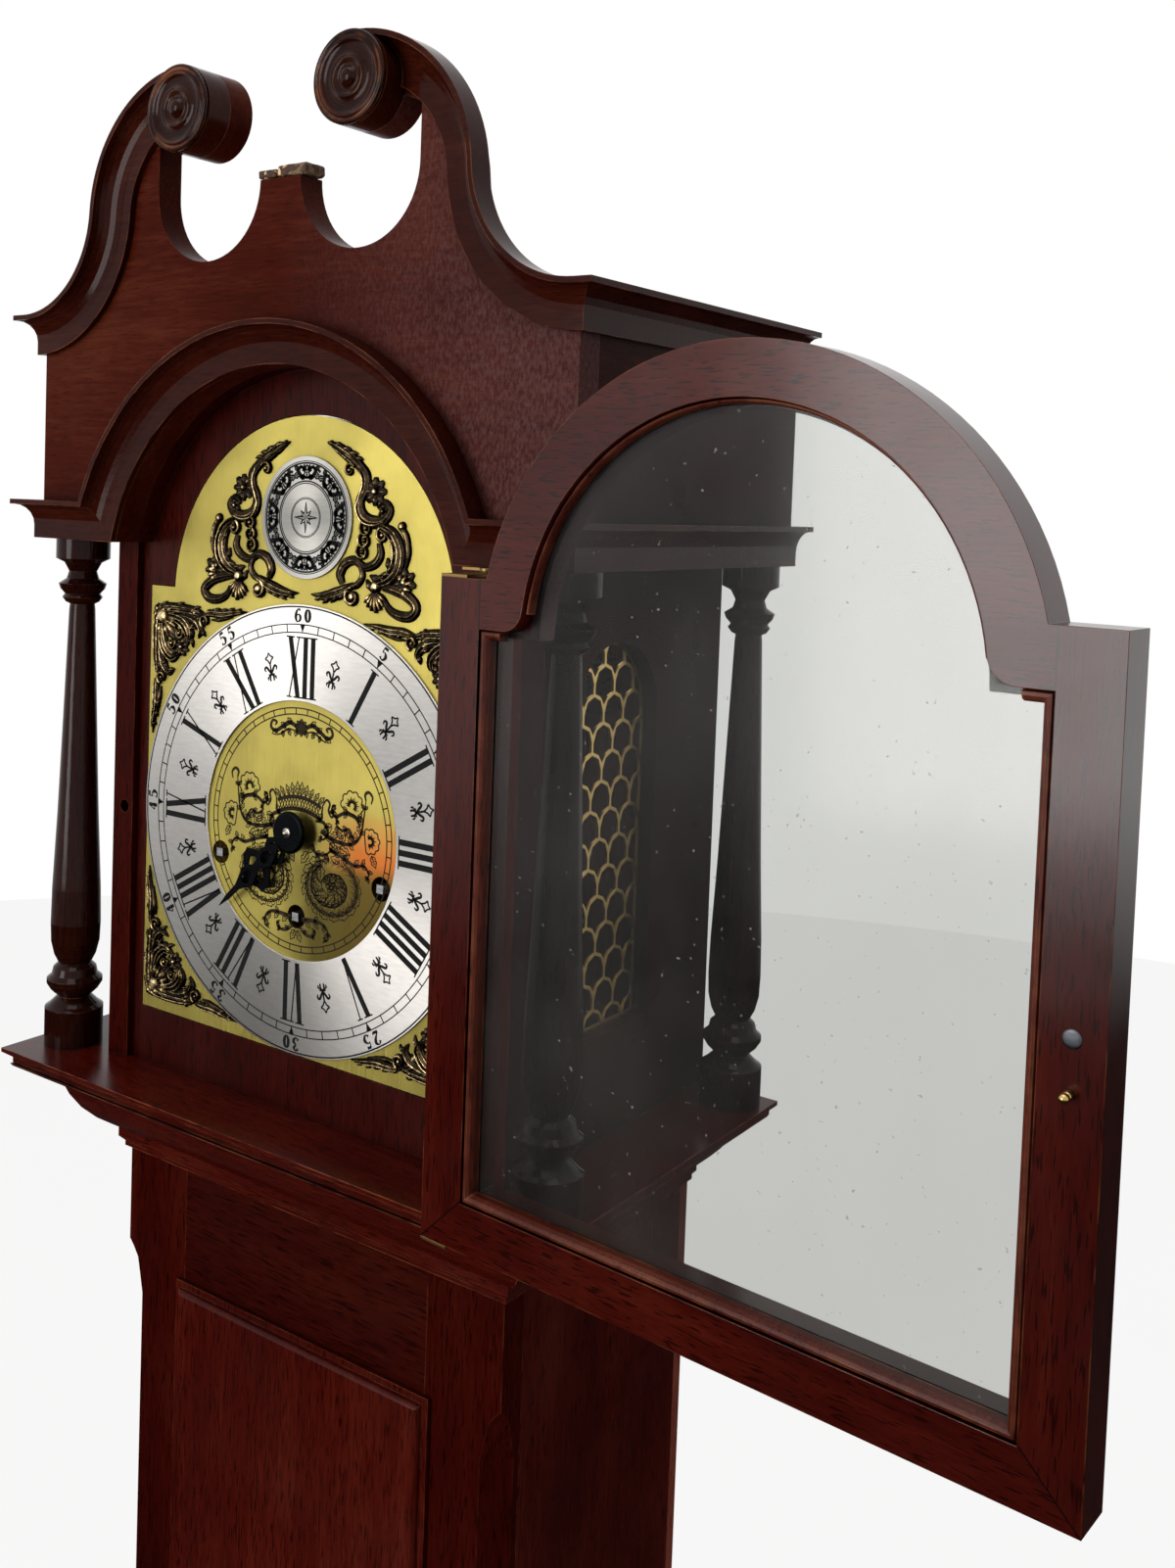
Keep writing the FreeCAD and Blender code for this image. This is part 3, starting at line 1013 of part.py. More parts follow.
def movement_frame():
    """Two plates on the seat board with pillars, dial feet, back cock, motion stud and hammer arms."""
    front = v.front_plate_setback
    rear = front + v.plate_thick + v.plate_gap
    half = v.plate_width / 2
    third_x, third_rise = third_place()
    clear = v.running_gap
    shapes = []
    for near in (front, rear):
        plate = box_shape((-half, DIAL_Y + near, SEAT_TOP), (half, DIAL_Y + near + v.plate_thick,
                                                             DIAL_Z + v.plate_top))
        holes = [front_rod(v.winding_arbor_radius + clear, x, rise, near - v.overrun,
                           near + v.plate_thick + v.overrun)
                 for x, rise in winding_places()]
        for x, rise, radius in ((0, 0, v.centre_arbor_radius), (third_x, third_rise, v.arbor_radius),
                                (0, v.escape_rise, v.arbor_radius)):
            holes.append(front_rod(radius + clear, x, rise, near - v.overrun,
                                   near + v.plate_thick + v.overrun))
        pallet_hole = v.arbor_radius + clear if near == front else v.cock_hole_radius
        holes.append(front_rod(pallet_hole, 0, v.pivot_rise, near - v.overrun,
                               near + v.plate_thick + v.overrun))
        shapes.append(plate.cut(holes))
    out = half - v.pillar_inset
    up = v.plate_top - v.pillar_inset
    down = v.plate_foot - v.pillar_inset
    for x, rise in ((-out, up), (out, up), (-out, -down), (out, -down)):
        shapes.append(front_rod(v.pillar_radius, x, rise, front + v.plate_thick, rear))
        shapes.append(front_rod(v.pillar_radius / 2, x, rise, v.ring_thick + v.dial_thick, front))
    stud_x = v.motion_distance
    shapes.append(front_rod(v.arbor_radius, stud_x, 0, v.motion_near - v.running_gap, front))
    back = rear + v.plate_thick
    bar_low, bar_high = v.pivot_rise - v.cock_height / 2, v.pivot_rise + v.cock_height / 2
    cock = box_shape((-v.cock_width / 2, DIAL_Y + back + v.cock_stand, DIAL_Z + bar_low),
                     (v.cock_width / 2, DIAL_Y + back + v.cock_stand + v.plate_thick, DIAL_Z + bar_high))
    cock_front = back + v.cock_stand
    cock = cock.cut(front_rod(v.arbor_radius + clear, 0, v.pivot_rise, cock_front - v.overrun,
                             cock_front + v.plate_thick / 2))
    shapes.append(cock)
    foot_x = v.cock_width / 2 - v.pillar_radius
    for x in (-foot_x, foot_x):
        shapes.append(front_rod(v.pillar_radius, x, v.pivot_rise, back, cock_front))
    stud_far = v.pendulum_setback + v.pendulum_block / 2 + v.seat_gap
    shapes.append(front_rod(v.stud_radius, 0, v.pivot_rise, cock_front + v.plate_thick, stud_far))
    for low in (v.chime_x - v.rod_pitch / 2, chime_last() + v.rod_pitch / 2 - v.plate_thick):
        arm = box_shape((low, DIAL_Y + back, DIAL_Z + v.hammer_rise - 2 * v.hammer_radius),
                        (low + v.plate_thick, DIAL_Y + v.hammer_setback + v.hammer_radius,
                         DIAL_Z + v.hammer_rise + v.hammer_radius))
        arm = arm.cut(rod(v.arbor_radius + clear, Vector(low - v.overrun, DIAL_Y + v.hammer_setback,
                                                         DIAL_Z + v.hammer_rise),
                          Vector(low + v.plate_thick + v.overrun, DIAL_Y + v.hammer_setback,
                                 DIAL_Z + v.hammer_rise)))
        shapes.append(arm)
    whole = shapes[0].fuse(shapes[1:])
    feature("movement_frame", whole.removeSplitter())


def chime_last():
    return v.chime_x + v.rod_pitch * (v.rod_count - 1)


def going_train():
    """Centre arbor, third wheel, escape wheel and going barrel, meshed from the hands back."""
    front, gap = v.front_plate_setback, v.seat_gap
    back = front + 2 * v.plate_thick + v.plate_gap
    third_x, third_rise = third_place()
    thick = v.wheel_thick
    third_turn = facing(0, 0, third_x, third_rise)
    barrel_rise = v.centre_winding_rise
    barrel_distance = -barrel_rise
    great_radius = share_radius(barrel_distance, v.going_wheel_teeth, v.centre_pinion_teeth)
    pinion_radius = barrel_distance - great_radius
    half_pitch = 180.0

    wheel_radius = share_radius(v.third_distance, v.centre_wheel_teeth, v.third_pinion_teeth)
    cannon_radius = share_radius(v.motion_distance, v.cannon_teeth, v.minute_wheel_teeth)
    arbor = front_rod(v.centre_arbor_radius, 0, 0, -v.minute_hand_stand + v.hand_thick, back)
    centre = [gear(v.centre_wheel_teeth, wheel_radius, 0, 0, v.centre_near, thick, third_turn),
              gear(v.centre_pinion_teeth, pinion_radius, 0, 0, v.great_near - v.pinion_lap,
                   thick + 2 * v.pinion_lap,
                   -90 + half_pitch / v.centre_pinion_teeth),
              gear(v.cannon_teeth, cannon_radius, 0, 0, v.cannon_near, v.motion_thick, 0)]
    feature("centre_wheel", arbor.fuse(centre).removeSplitter())

    back_turn = third_turn + 180
    pinion = gear(v.third_pinion_teeth, v.third_distance - wheel_radius, third_x, third_rise,
                  v.centre_near - v.pinion_lap,
                  thick + 2 * v.pinion_lap, back_turn + half_pitch / v.third_pinion_teeth)
    escape_turn = facing(third_x, third_rise, 0, v.escape_rise)
    third_radius = share_radius(v.escape_distance, v.third_wheel_teeth, v.escape_pinion_teeth)
    wheel = gear(v.third_wheel_teeth, third_radius, third_x, third_rise, v.third_near, thick, escape_turn)
    arbor = front_rod(v.arbor_radius, third_x, third_rise, front, back)
    feature("third_wheel", arbor.fuse([pinion, wheel]).removeSplitter())

    pinion = gear(v.escape_pinion_teeth, v.escape_distance - third_radius, 0, v.escape_rise,
                  v.third_near - v.pinion_lap,
                  thick + 2 * v.pinion_lap, escape_turn + 180 + half_pitch / v.escape_pinion_teeth)
    points = []
    tooth_shares = ((0.0, 1.0), (0.3, 0.86), (0.9, 0.86))
    step = 360.0 / v.escape_teeth
    for number in range(int(v.escape_teeth)):
        for turn, reach in tooth_shares:
            angle = math.radians(step * (number + turn))
            points.append((v.escape_radius * reach * math.cos(angle),
                           DIAL_Z + v.escape_rise + v.escape_radius * reach * math.sin(angle)))
    wheel = front_solid(loop(points), DIAL_Y + v.escape_near, DIAL_Y + v.escape_near + thick)
    arbor = front_rod(v.arbor_radius, 0, v.escape_rise, front, back)
    feature("escape_wheel", arbor.fuse([pinion, wheel]).removeSplitter())

    drum = front_rod(v.barrel_radius, 0, barrel_rise, v.great_near + thick,
                     v.great_near + thick + v.barrel_length)
    great = gear(v.going_wheel_teeth, great_radius, 0, barrel_rise, v.great_near, thick, 90)
    bore = front_rod(v.winding_arbor_radius + v.running_gap, 0, barrel_rise, front, back)
    feature("going_barrel", drum.fuse(great).cut(bore).removeSplitter())

    sides = []
    for x in (-v.winding_x, v.winding_x):
        drum = front_rod(v.barrel_radius, x, v.winding_rise, v.great_near + thick,
                         v.great_near + thick + v.barrel_length)
        wheel = gear(v.side_wheel_teeth, v.side_wheel_radius, x, v.winding_rise,
                     v.great_near + thick + v.barrel_length, thick, 90)
        bore = front_rod(v.winding_arbor_radius + v.running_gap, x, v.winding_rise, front, back)
        sides.append(drum.fuse(wheel).cut(bore).removeSplitter())
    feature("side_barrels", Part.makeCompound(sides))
    for side, (x, rise) in zip(("left", "centre", "right"), winding_places()):
        arbor = front_rod(v.winding_arbor_radius, x, rise, front - v.plate_thick, back)
        square = box_shape((x - v.square_side / 2, DIAL_Y + gap, DIAL_Z + rise - v.square_side / 2),
                           (x + v.square_side / 2, DIAL_Y + front - v.plate_thick,
                            DIAL_Z + rise + v.square_side / 2))
        feature("winding_arbor_" + side, arbor.fuse(square))


def motion_work():
    """Minute wheel on its stud, and the hour wheel with the pipe that carries the hour hand."""
    x = v.motion_distance
    wheel_radius = share_radius(x, v.minute_wheel_teeth, v.cannon_teeth)
    pinion_radius = share_radius(x, v.minute_pinion_teeth, v.hour_wheel_teeth)
    wheel = gear(v.minute_wheel_teeth, wheel_radius, x, 0, v.cannon_near, v.motion_thick,
                 180 + 180.0 / v.minute_wheel_teeth)
    pinion = gear(v.minute_pinion_teeth, pinion_radius, x, 0, v.motion_near, v.cannon_near - v.motion_near,
                  180)
    bore = front_rod(v.arbor_radius + v.running_gap, x, 0, 0, v.front_plate_setback)
    feature("minute_wheel", wheel.fuse(pinion).cut(bore).removeSplitter())
    wheel = gear(v.hour_wheel_teeth, x - pinion_radius, 0, 0, v.motion_near, v.motion_thick,
                 180.0 / v.hour_wheel_teeth)
    pipe = front_rod(v.pipe_radius, 0, 0, v.hand_thick - v.hour_hand_stand, v.motion_near)
    bore = front_rod(v.centre_arbor_radius + v.running_gap, 0, 0, -v.minute_hand_stand,
                     v.front_plate_setback)
    feature("hour_wheel", wheel.fuse(pipe).cut(bore).removeSplitter())


def pallets():
    """Anchor over the escape wheel, its arbor, and the crutch with a fork round the pendulum rod."""
    front = v.front_plate_setback
    back = front + 2 * v.plate_thick + v.plate_gap
    rise = v.pivot_rise
    reach = v.escape_radius
    drop = rise - v.escape_rise
    right = ((0.0, 0.20), (0.55, 0.10), (0.98, -0.22), (1.02, -0.52), (0.86, -0.50), (0.80, -0.28),
             (0.45, -0.12), (0.0, -0.10))
    points = [(reach * out, DIAL_Z + rise + drop * up) for out, up in right]
    anchor = front_solid(loop(points), DIAL_Y + v.escape_near, DIAL_Y + v.escape_near + v.wheel_thick)
    arbor = front_rod(v.arbor_radius, 0, rise, front, back + v.cock_stand + v.plate_thick / 2 - v.seat_gap)
    hub = front_rod(2 * v.arbor_radius, 0, rise, v.escape_near, v.escape_near + v.wheel_thick)
    near = back + v.seat_gap * 4
    stem_half = v.arbor_radius
    inner = v.pendulum_rod_radius + v.seat_gap
    low = rise - v.crutch_length
    stem = box_shape((-stem_half, DIAL_Y + near, DIAL_Z + low),
                     (stem_half, DIAL_Y + near + v.wheel_thick, DIAL_Z + rise))
    bar = box_shape((-inner - v.wheel_thick, DIAL_Y + near, DIAL_Z + low - stem_half),
                    (inner + v.wheel_thick, DIAL_Y + near + v.wheel_thick, DIAL_Z + low + stem_half))
    far = v.pendulum_setback + v.pendulum_rod_radius
    prongs = [box_shape((x, DIAL_Y + near, DIAL_Z + low - stem_half),
                        (x + v.wheel_thick, DIAL_Y + far, DIAL_Z + low + stem_half))
              for x in (-inner - v.wheel_thick, inner)]
    whole = arbor.fuse([anchor, mirrored(anchor), hub, stem, bar] + prongs)
    feature("pallets", whole.removeSplitter())


def pendulum():
    """Rod with its hanging block and rating nut, and the lens-shaped bob threaded on it."""
    y, pivot = DIAL_Y + v.pendulum_setback, DIAL_Z + v.pivot_rise
    half = v.pendulum_block / 2
    block = box_shape((-half, y - half, pivot - half * 2), (half, y + half, pivot + half))
    block = block.cut(rod(v.stud_radius + v.running_gap, Vector(0, y - 2 * half, pivot),
                          Vector(0, y + 2 * half, pivot)))
    bob_z = pivot - v.pendulum_length
    foot = bob_z - v.bob_radius
    stem = rod(v.pendulum_rod_radius, Vector(0, y, foot - 2 * v.rating_nut_radius),
               Vector(0, y, pivot - half * 2))
    nut = rod(v.rating_nut_radius, Vector(0, y, foot - v.rating_nut_radius), Vector(0, y, foot))
    feature("pendulum_rod", block.fuse([stem, nut]).removeSplitter())
    thick, rim = v.bob_thick / 2, v.rim_thick / 2
    bulge_shares = ((0.0, 1.0), (0.35, 0.93), (0.62, 0.75), (0.84, 0.46), (1.0, 0.0))
    profile = [Vector(v.bob_radius * out, y - rim - (thick - rim) * up, bob_z) for out, up in bulge_shares]
    profile += [Vector(v.bob_radius * out, y + rim + (thick - rim) * up, bob_z)
                for out, up in reversed(bulge_shares)]
    lens = Part.Face(Part.makePolygon(profile + profile[:1])).revolve(Vector(0, 0, bob_z), Vector(0, 1, 0),
                                                                      360)
    bore = rod(v.pendulum_rod_radius + v.running_gap, Vector(0, y, foot - v.overrun),
               Vector(0, y, bob_z + v.bob_radius + v.overrun))
    feature("pendulum_bob", lens.cut(bore))


def chimes():
    """Chime rods in a block on the back board, and the hammers on one arbor."""
    block_front = DIAL_Y + v.rod_setback - v.rod_pitch / 2
    low = DIAL_Z + v.rod_block_rise
    block = box_shape((v.chime_x - v.rod_pitch / 2, block_front, low),
                      (chime_last() + v.rod_pitch / 2, BACKBOARD_FRONT, low + v.rod_block_height))
    places = [v.chime_x + v.rod_pitch * number for number in range(int(v.rod_count))]
    y = DIAL_Y + v.rod_setback
    rods = [rod(v.rod_radius, Vector(x, y, low - v.rod_length + v.rod_pitch * number), Vector(x, y, low))
            for number, x in enumerate(places)]
    feature("chime_rods", block.fuse(rods).removeSplitter())
    axis_y, axis_z = DIAL_Y + v.hammer_setback, DIAL_Z + v.hammer_rise
    face = y - v.rod_radius - v.strike_gap
    head_z = axis_z + 2 * v.hammer_radius + v.arbor_radius
    heads = []
    for x in places:
        heads.append(rod(v.hammer_radius, Vector(x, face - 2 * v.hammer_radius, head_z),
                         Vector(x, face, head_z)))
        start = Vector(x, axis_y, axis_z)
        heads.append(rod(v.arbor_radius / 2, start, Vector(x, face - v.hammer_radius, head_z)))
    first, last = places[0] - v.rod_pitch / 2, places[-1] + v.rod_pitch / 2
    arbor = rod(v.arbor_radius, Vector(first - v.overrun, axis_y, axis_z),
                Vector(last + v.overrun, axis_y, axis_z))
    feature("chime_hammers", arbor.fuse(heads).removeSplitter())


# Assembly.
for step in (base_box, skirting, base_moulding, trunk, backboard, throat_moulding, seat_board, trunk_door,
             trunk_door_fittings, hood_base, hood_sides, frets, tympanum, swan_necks, lower_cornice,
             hood_front,
             roof_and_cap, columns, hood_door, hood_door_fittings, ring_pull, hinge_brackets, dial, hands,
             movement_frame, going_train, motion_work, pallets, pendulum, chimes):
    step()
doc.recompute()

for item in doc.Objects:
    if "Invalid" in item.State or "Error" in item.State:
        raise RuntimeError("not computed: " + item.Label)
pieces = [item for item in doc.Objects if item.TypeId in ("Part::Box", "Part::Feature", "PartDesign::Body")]
for item in pieces:
    if item.Shape.isNull() or not item.Shape.isValid() or item.Shape.Volume <= 0:
        raise RuntimeError("not a sound solid: " + item.Label)

os.makedirs("parts", exist_ok=True)
for item in pieces:
    item.Shape.exportStep("parts/" + item.Label + ".step")
print("%d sub-parts" % len(pieces))
for item in pieces:
    box = item.Shape.BoundBox
    print("%-22s %7.1f %7.1f %7.1f  to %7.1f %7.1f %7.1f" % (
        item.Label, box.XMin, box.YMin, box.ZMin, box.XMax, box.YMax, box.ZMax))
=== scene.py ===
# %% [markdown]
# # Longcase clock with its hood door open
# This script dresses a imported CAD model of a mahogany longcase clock: a swan-neck hood on turned columns, a
# break-arch brass dial with a silvered chapter ring, and a glazed door that stands open. The CAD solids
# give every size. Here they get wood, brass and silver finishes, and the fine work is added: numerals,
# engraving, cast ornament, glazing and wear.

# %% Load the frame and note the CAD box
import math

import bmesh
import bpy
from mathutils import Matrix, Vector, noise


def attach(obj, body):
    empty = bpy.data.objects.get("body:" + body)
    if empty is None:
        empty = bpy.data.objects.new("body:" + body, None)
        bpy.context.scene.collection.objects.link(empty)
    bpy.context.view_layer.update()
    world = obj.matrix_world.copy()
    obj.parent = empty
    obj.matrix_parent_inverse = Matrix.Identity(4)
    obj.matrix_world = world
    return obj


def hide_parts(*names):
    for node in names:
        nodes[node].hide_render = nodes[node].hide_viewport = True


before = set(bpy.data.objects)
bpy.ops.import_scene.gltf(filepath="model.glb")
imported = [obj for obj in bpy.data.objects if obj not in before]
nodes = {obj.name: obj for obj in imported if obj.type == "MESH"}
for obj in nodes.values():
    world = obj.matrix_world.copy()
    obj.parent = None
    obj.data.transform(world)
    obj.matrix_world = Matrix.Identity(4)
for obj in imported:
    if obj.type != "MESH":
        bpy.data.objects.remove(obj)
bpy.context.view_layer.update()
scene = bpy.context.scene
print("loaded", len(nodes), "CAD nodes")

# %% [markdown]
# ## Key places
# The dial faces -Y with its chapter ring's face on the plane `DIAL_Y`, and its hands turn about the line x
# = 0, z = `DIAL_Z`. The hood door is built shut and swung about its pivot, as in the CAD source.

# %% Key places
DIAL_Y, DIAL_Z = -0.100, 1.620
ARCH_Z = DIAL_Z + 0.137
BOSS_Z = DIAL_Z + 0.1923
DOOR_PIVOT = Vector((0.170, -0.1395, 0.0))
DOOR_ANGLE = 176
DOOR_FOOT = 1.4472
DOOR_SWING = (Matrix.Translation(DOOR_PIVOT) @ Matrix.Rotation(math.radians(DOOR_ANGLE), 4, "Z")
              @ Matrix.Translation(-DOOR_PIVOT))
MM = 0.001
print("dial centre at", DIAL_Z, "arch centre at", round(ARCH_Z, 3))

# %% [markdown]
# ## Camera
# It stands to the right of the clock, above the dial's centre, and looks down and to the left. Its place
# and angles could be set by eye. They were solved instead, from points of the dial and the door whose
# places in metres are known, so that the render lies on the photograph. The photograph is cropped
# off-centre, hence the small shift.

# %% Camera
CAMERA_PLACE = (0.6522, -0.7770, 1.8271)
YAW, PITCH, ROLL = 0.6318, 0.0477, 0.0343
FOCAL_PIXELS, PHOTO_HEIGHT, SENSOR = 1563.29, 1601, 36.0
SHIFT_X, SHIFT_Y = 0.0483, -0.1343

camera_data = bpy.data.cameras.new("camera")
camera = bpy.data.objects.new("camera", camera_data)
scene.collection.objects.link(camera)
camera.location = CAMERA_PLACE
forward = Vector((-math.sin(YAW) * math.cos(PITCH), math.cos(YAW) * math.cos(PITCH), -math.sin(PITCH)))
level = Vector((math.cos(YAW), math.sin(YAW), 0))
above = level.cross(forward)
rightward = level * math.cos(ROLL) + above * math.sin(ROLL)
upward = -level * math.sin(ROLL) + above * math.cos(ROLL)
camera.rotation_euler = Matrix((rightward, upward, -forward)).transposed().to_euler()
camera_data.sensor_fit = "VERTICAL"
camera_data.sensor_height = SENSOR
camera_data.lens = FOCAL_PIXELS / PHOTO_HEIGHT * SENSOR
camera_data.shift_x = SHIFT_X
camera_data.shift_y = SHIFT_Y
camera_data.clip_start = 0.01
scene.camera = camera
print("camera lens", round(camera_data.lens, 2))

# %% [markdown]
# ## Node kit
# Every finish is a node tree. Trees could be joined by hand in the editor, but some twenty woods and metals
# share their steps, so short calls build them. The textures read object coordinates, which are the model's
# metres, so grain and brushing keep their real scale on every board.

# %% Node kit
class Nodes:
    """Short calls that build one node tree."""

    def __init__(self, tree):
        self.tree = tree
        tree.nodes.clear()

    def node(self, kind, **values):
        """A new node, with values for its named sockets."""
        node = self.tree.nodes.new("ShaderNode" + kind)
        for name, value in values.items():
            node.inputs[name].default_value = value
        return node

    def feed(self, socket, value):
        """Set a number or a colour on a socket, or link an output to it."""
        if isinstance(value, (int, float)):
            socket.default_value = value
        elif isinstance(value, tuple):
            socket.default_value = (*value, 1)
        else:
            self.tree.links.new(value, socket)

    def math(self, kind, a, b=0.0, clamp=False):
        node = self.node("Math")
        node.operation = kind
        node.use_clamp = clamp
        self.feed(node.inputs[0], a)
        self.feed(node.inputs[1], b)
        return node.outputs[0]

    def times(self, a, b, clamp=False):
        return self.math("MULTIPLY", a, b, clamp)

    def plus(self, a, b, clamp=False):
        return self.math("ADD", a, b, clamp)

    def axis(self, name, place):
        """One coordinate of a place."""
        node = self.node("SeparateXYZ")
        self.feed(node.inputs[0], place)
        return node.outputs[name]

    def blend(self, share, a, b):
        """A mix of two shaders."""
        node = self.node("MixShader")
        for socket, value in zip(node.inputs, (share, a, b)):
            self.feed(socket, value)
        return node.outputs[0]


print("node kit ready")

# %% [markdown]
# ## Finish kit
# A finish is one Principled shader with textures on its colour and gloss. Colours could be typed into the
# shader, but no old surface has one even tone, so short calls mix noises, ramps and colours.

# %% Finish kit
class Finish(Nodes):
    """A material with a Principled shader, and calls for the textures that feed it."""

    def __init__(self, name, rough=0.5, metal=0.0, color=(0.8, 0.8, 0.8)):
        self.material = bpy.data.materials.new(name)
        self.material.use_nodes = True
        super().__init__(self.material.node_tree)
        self.out = self.node("OutputMaterial")
        self.shader = self.node("BsdfPrincipled", Roughness=rough, Metallic=metal)
        self.color(color)
        self.surface(self.shader.outputs[0])
        self.place = self.node("TexCoord").outputs["Object"]

    def surface(self, shader):
        self.feed(self.out.inputs[0], shader)

    def color(self, value):
        self.feed(self.shader.inputs["Base Color"], value)

    def rough(self, value):
        self.feed(self.shader.inputs["Roughness"], value)

    def mapped(self, scale=(1, 1, 1), turn=(0, 0, 0), shift=(0, 0, 0)):
        node = self.node("Mapping", Scale=scale, Rotation=[math.radians(a) for a in turn], Location=shift)
        self.feed(node.inputs["Vector"], self.place)
        return node.outputs[0]

    def noise(self, vector, scale, detail=4.0, rough=0.5, distort=0.0):
        node = self.node("TexNoise", Scale=scale, Detail=detail, Roughness=rough, Distortion=distort)
        self.feed(node.inputs["Vector"], vector)
        return node.outputs["Fac"]

    def ramp(self, value, stops):
        node = self.node("ValToRGB")
        marks = node.color_ramp.elements
        while len(marks) < len(stops):
            marks.new(0.5)
        for mark, (position, color) in zip(marks, stops):
            mark.position = position
            mark.color = (*color, 1)
        self.feed(node.inputs[0], value)
        return node.outputs[0]

    def grey(self, value, low, high, dark=0.0, light=1.0):
        return self.ramp(value, [(low, (dark, dark, dark)), (high, (light, light, light))])

    def mix(self, share, a, b, kind="MIX"):
        """A mix of two colours."""
        node = self.node("Mix")
        node.data_type = "RGBA"
        node.blend_type = kind
        for index, value in ((0, share), (6, a), (7, b)):
            self.feed(node.inputs[index], value)
        return node.outputs[2]


print("finish kit ready")

# %% [markdown]
# ## Wear kit
# Old things are rubbed pale on their corners. Their recesses are darkened in the colour too; on the wood this
# is painted shade. Both could be painted by hand. Here both are found from the shape itself, so every piece
# gets them in the right places.

# %% Wear kit
EDGE_SAMPLES = 6


class Worn(Finish):
    """A finish that finds the corners and recesses of its piece, and gives it relief."""

    def rounded(self, radius):
        """The way the surface faces, with its sharp corners rounded off."""
        node = self.node("Bevel", Radius=radius)
        node.samples = EDGE_SAMPLES
        return node.outputs[0]

    def edges(self, radius, gain):
        """White along sharp corners, from the angle between the true and the rounded normal."""
        dot = self.node("VectorMath")
        dot.operation = "DOT_PRODUCT"
        self.feed(dot.inputs[0], self.rounded(radius))
        self.feed(dot.inputs[1], self.node("NewGeometry").outputs["True Normal"])
        return self.times(self.math("SUBTRACT", 1.0, dot.outputs["Value"]), gain, clamp=True)

    def crevice(self, distance):
        """White in the open, dark in corners and recesses."""
        node = self.node("AmbientOcclusion", Distance=distance)
        node.samples = EDGE_SAMPLES
        return node.outputs["AO"]

    def bump(self, height, strength, depth, radius=0.0):
        node = self.node("Bump", Strength=strength, Distance=depth)
        self.feed(node.inputs["Height"], height)
        if radius:
            self.feed(node.inputs["Normal"], self.rounded(radius))
        self.feed(self.shader.inputs["Normal"], node.outputs[0])


print("wear kit ready")

# %% [markdown]
# ## Mahogany
# The case is polished mahogany: long dark figure, short open pores, and edges rubbed pale by two centuries
# of hands. A scanned board would fit one size only. Noise stretched along the grain gives every board its
# own figure, and a shift keeps two boards from looking alike.

# %% Mahogany
# Tones from the shaded ground to the lit figure, as linear colours.

RED_WOOD = ((0.024, 0.0010, 0.0004), (0.052, 0.0032, 0.0011), (0.092, 0.011, 0.0045))
BROWN_WOOD = ((0.026, 0.0028, 0.0011), (0.056, 0.0078, 0.0034), (0.105, 0.024, 0.0105))
# Colour of a painted sheen: the grey reflection on the old polish, painted into the wood's colour.
PAINTED_SHEEN = (0.21, 0.125, 0.130)
WORN_WOOD = (0.30, 0.095, 0.035)


def mahogany(name, along="Z", tones=RED_WOOD, tone=1.0, wear=0.5, gloss=0.28, shift=(0, 0, 0),
             wear_width=0.0012, across=None, sheen=0.5, pore=0.75, painted_sheen=None):
    """Polished dark mahogany: long figure, short open pores, cloudy tone and rubbed edges.

    painted_sheen is (from, to, share): a painted sheen, the grey reflection on the polish, broken into
    flecks, that grows between two places across the hood.
    """
    finish = Worn(name, rough=gloss)
    stretches = {"X": (1, 10, 10), "Y": (10, 1, 10), "Z": (10, 10, 1)}
    grain = finish.mapped(stretches[along], shift=shift)
    short = finish.mapped(tuple(85 if s == 1 else 1000 for s in stretches[along]))
    joint = None
    if across:
        rail, joint = across(finish)
        grain = finish.mix(rail, grain, finish.mapped(stretches["X"], shift=shift))
        short = finish.mix(rail, short, finish.mapped((85, 1000, 1000)))
    figure = finish.noise(grain, 2.2, 5.0, 0.6, 0.9)
    fine = finish.noise(grain, 40.0, 3.0, 0.6, 0.2)
    cloudy = finish.noise(finish.mapped(shift=shift), 7.0, 2.0, 0.5)
    value = finish.mix(0.30, finish.mix(0.40, figure, fine), cloudy)
    stops = [tuple(c * tone for c in color) for color in tones]
    wood = finish.ramp(value, list(zip((0.33, 0.50, 0.70), stops)))
    pores = finish.noise(short, 1.0, 1.0, 0.4)
    open_pore = finish.grey(pores, 0.34, 0.42, 1.0, 0.0)
    wood = finish.mix(finish.times(open_pore, pore), wood, tuple(c * 0.3 for c in stops[0]))
    if joint is not None:
        wood = finish.mix(joint, wood, (0.004, 0.001, 0.001))
    # Painted sheen: a grey reflection painted into the colour, growing across the hood and broken into
    # flecks.
    if painted_sheen:
        grown = finish.grey(finish.axis("X", finish.place), painted_sheen[0], painted_sheen[1], 0.0, painted_sheen[2])
        flecks = finish.grey(finish.noise(finish.mapped((1, 1, 0.5)), 560.0, 3.0, 0.7), 0.40, 0.66, 0.5, 2.2)
        wood = finish.mix(finish.times(grown, flecks, clamp=True), wood, PAINTED_SHEEN)
    patchy = finish.grey(finish.noise(finish.mapped(), 46.0, 3.0, 0.6), 0.42, 0.62)
    worn = finish.times(finish.edges(wear_width, 3.0 * wear), patchy, clamp=True)
    wood = finish.mix(worn, wood, WORN_WOOD)
    # Painted shade: the colour is darkened in corners and recesses, where shade falls.
    shade = finish.grey(finish.crevice(0.012), 0.15, 0.75, 0.25, 1.0)
    finish.color(finish.mix(1.0, wood, shade, "MULTIPLY"))
    dull = finish.noise(finish.mapped(), 18.0, 3.0, 0.5)
    finish.rough(finish.grey(dull, 0.3, 0.75, gloss * 0.8, min(1.0, gloss * 1.4)))
    finish.shader.inputs["Specular IOR Level"].default_value = sheen
    finish.bump(finish.mix(0.5, pores, fine), 0.12, 0.0004, radius=0.0005)
    return finish.material


print("mahogany ready")

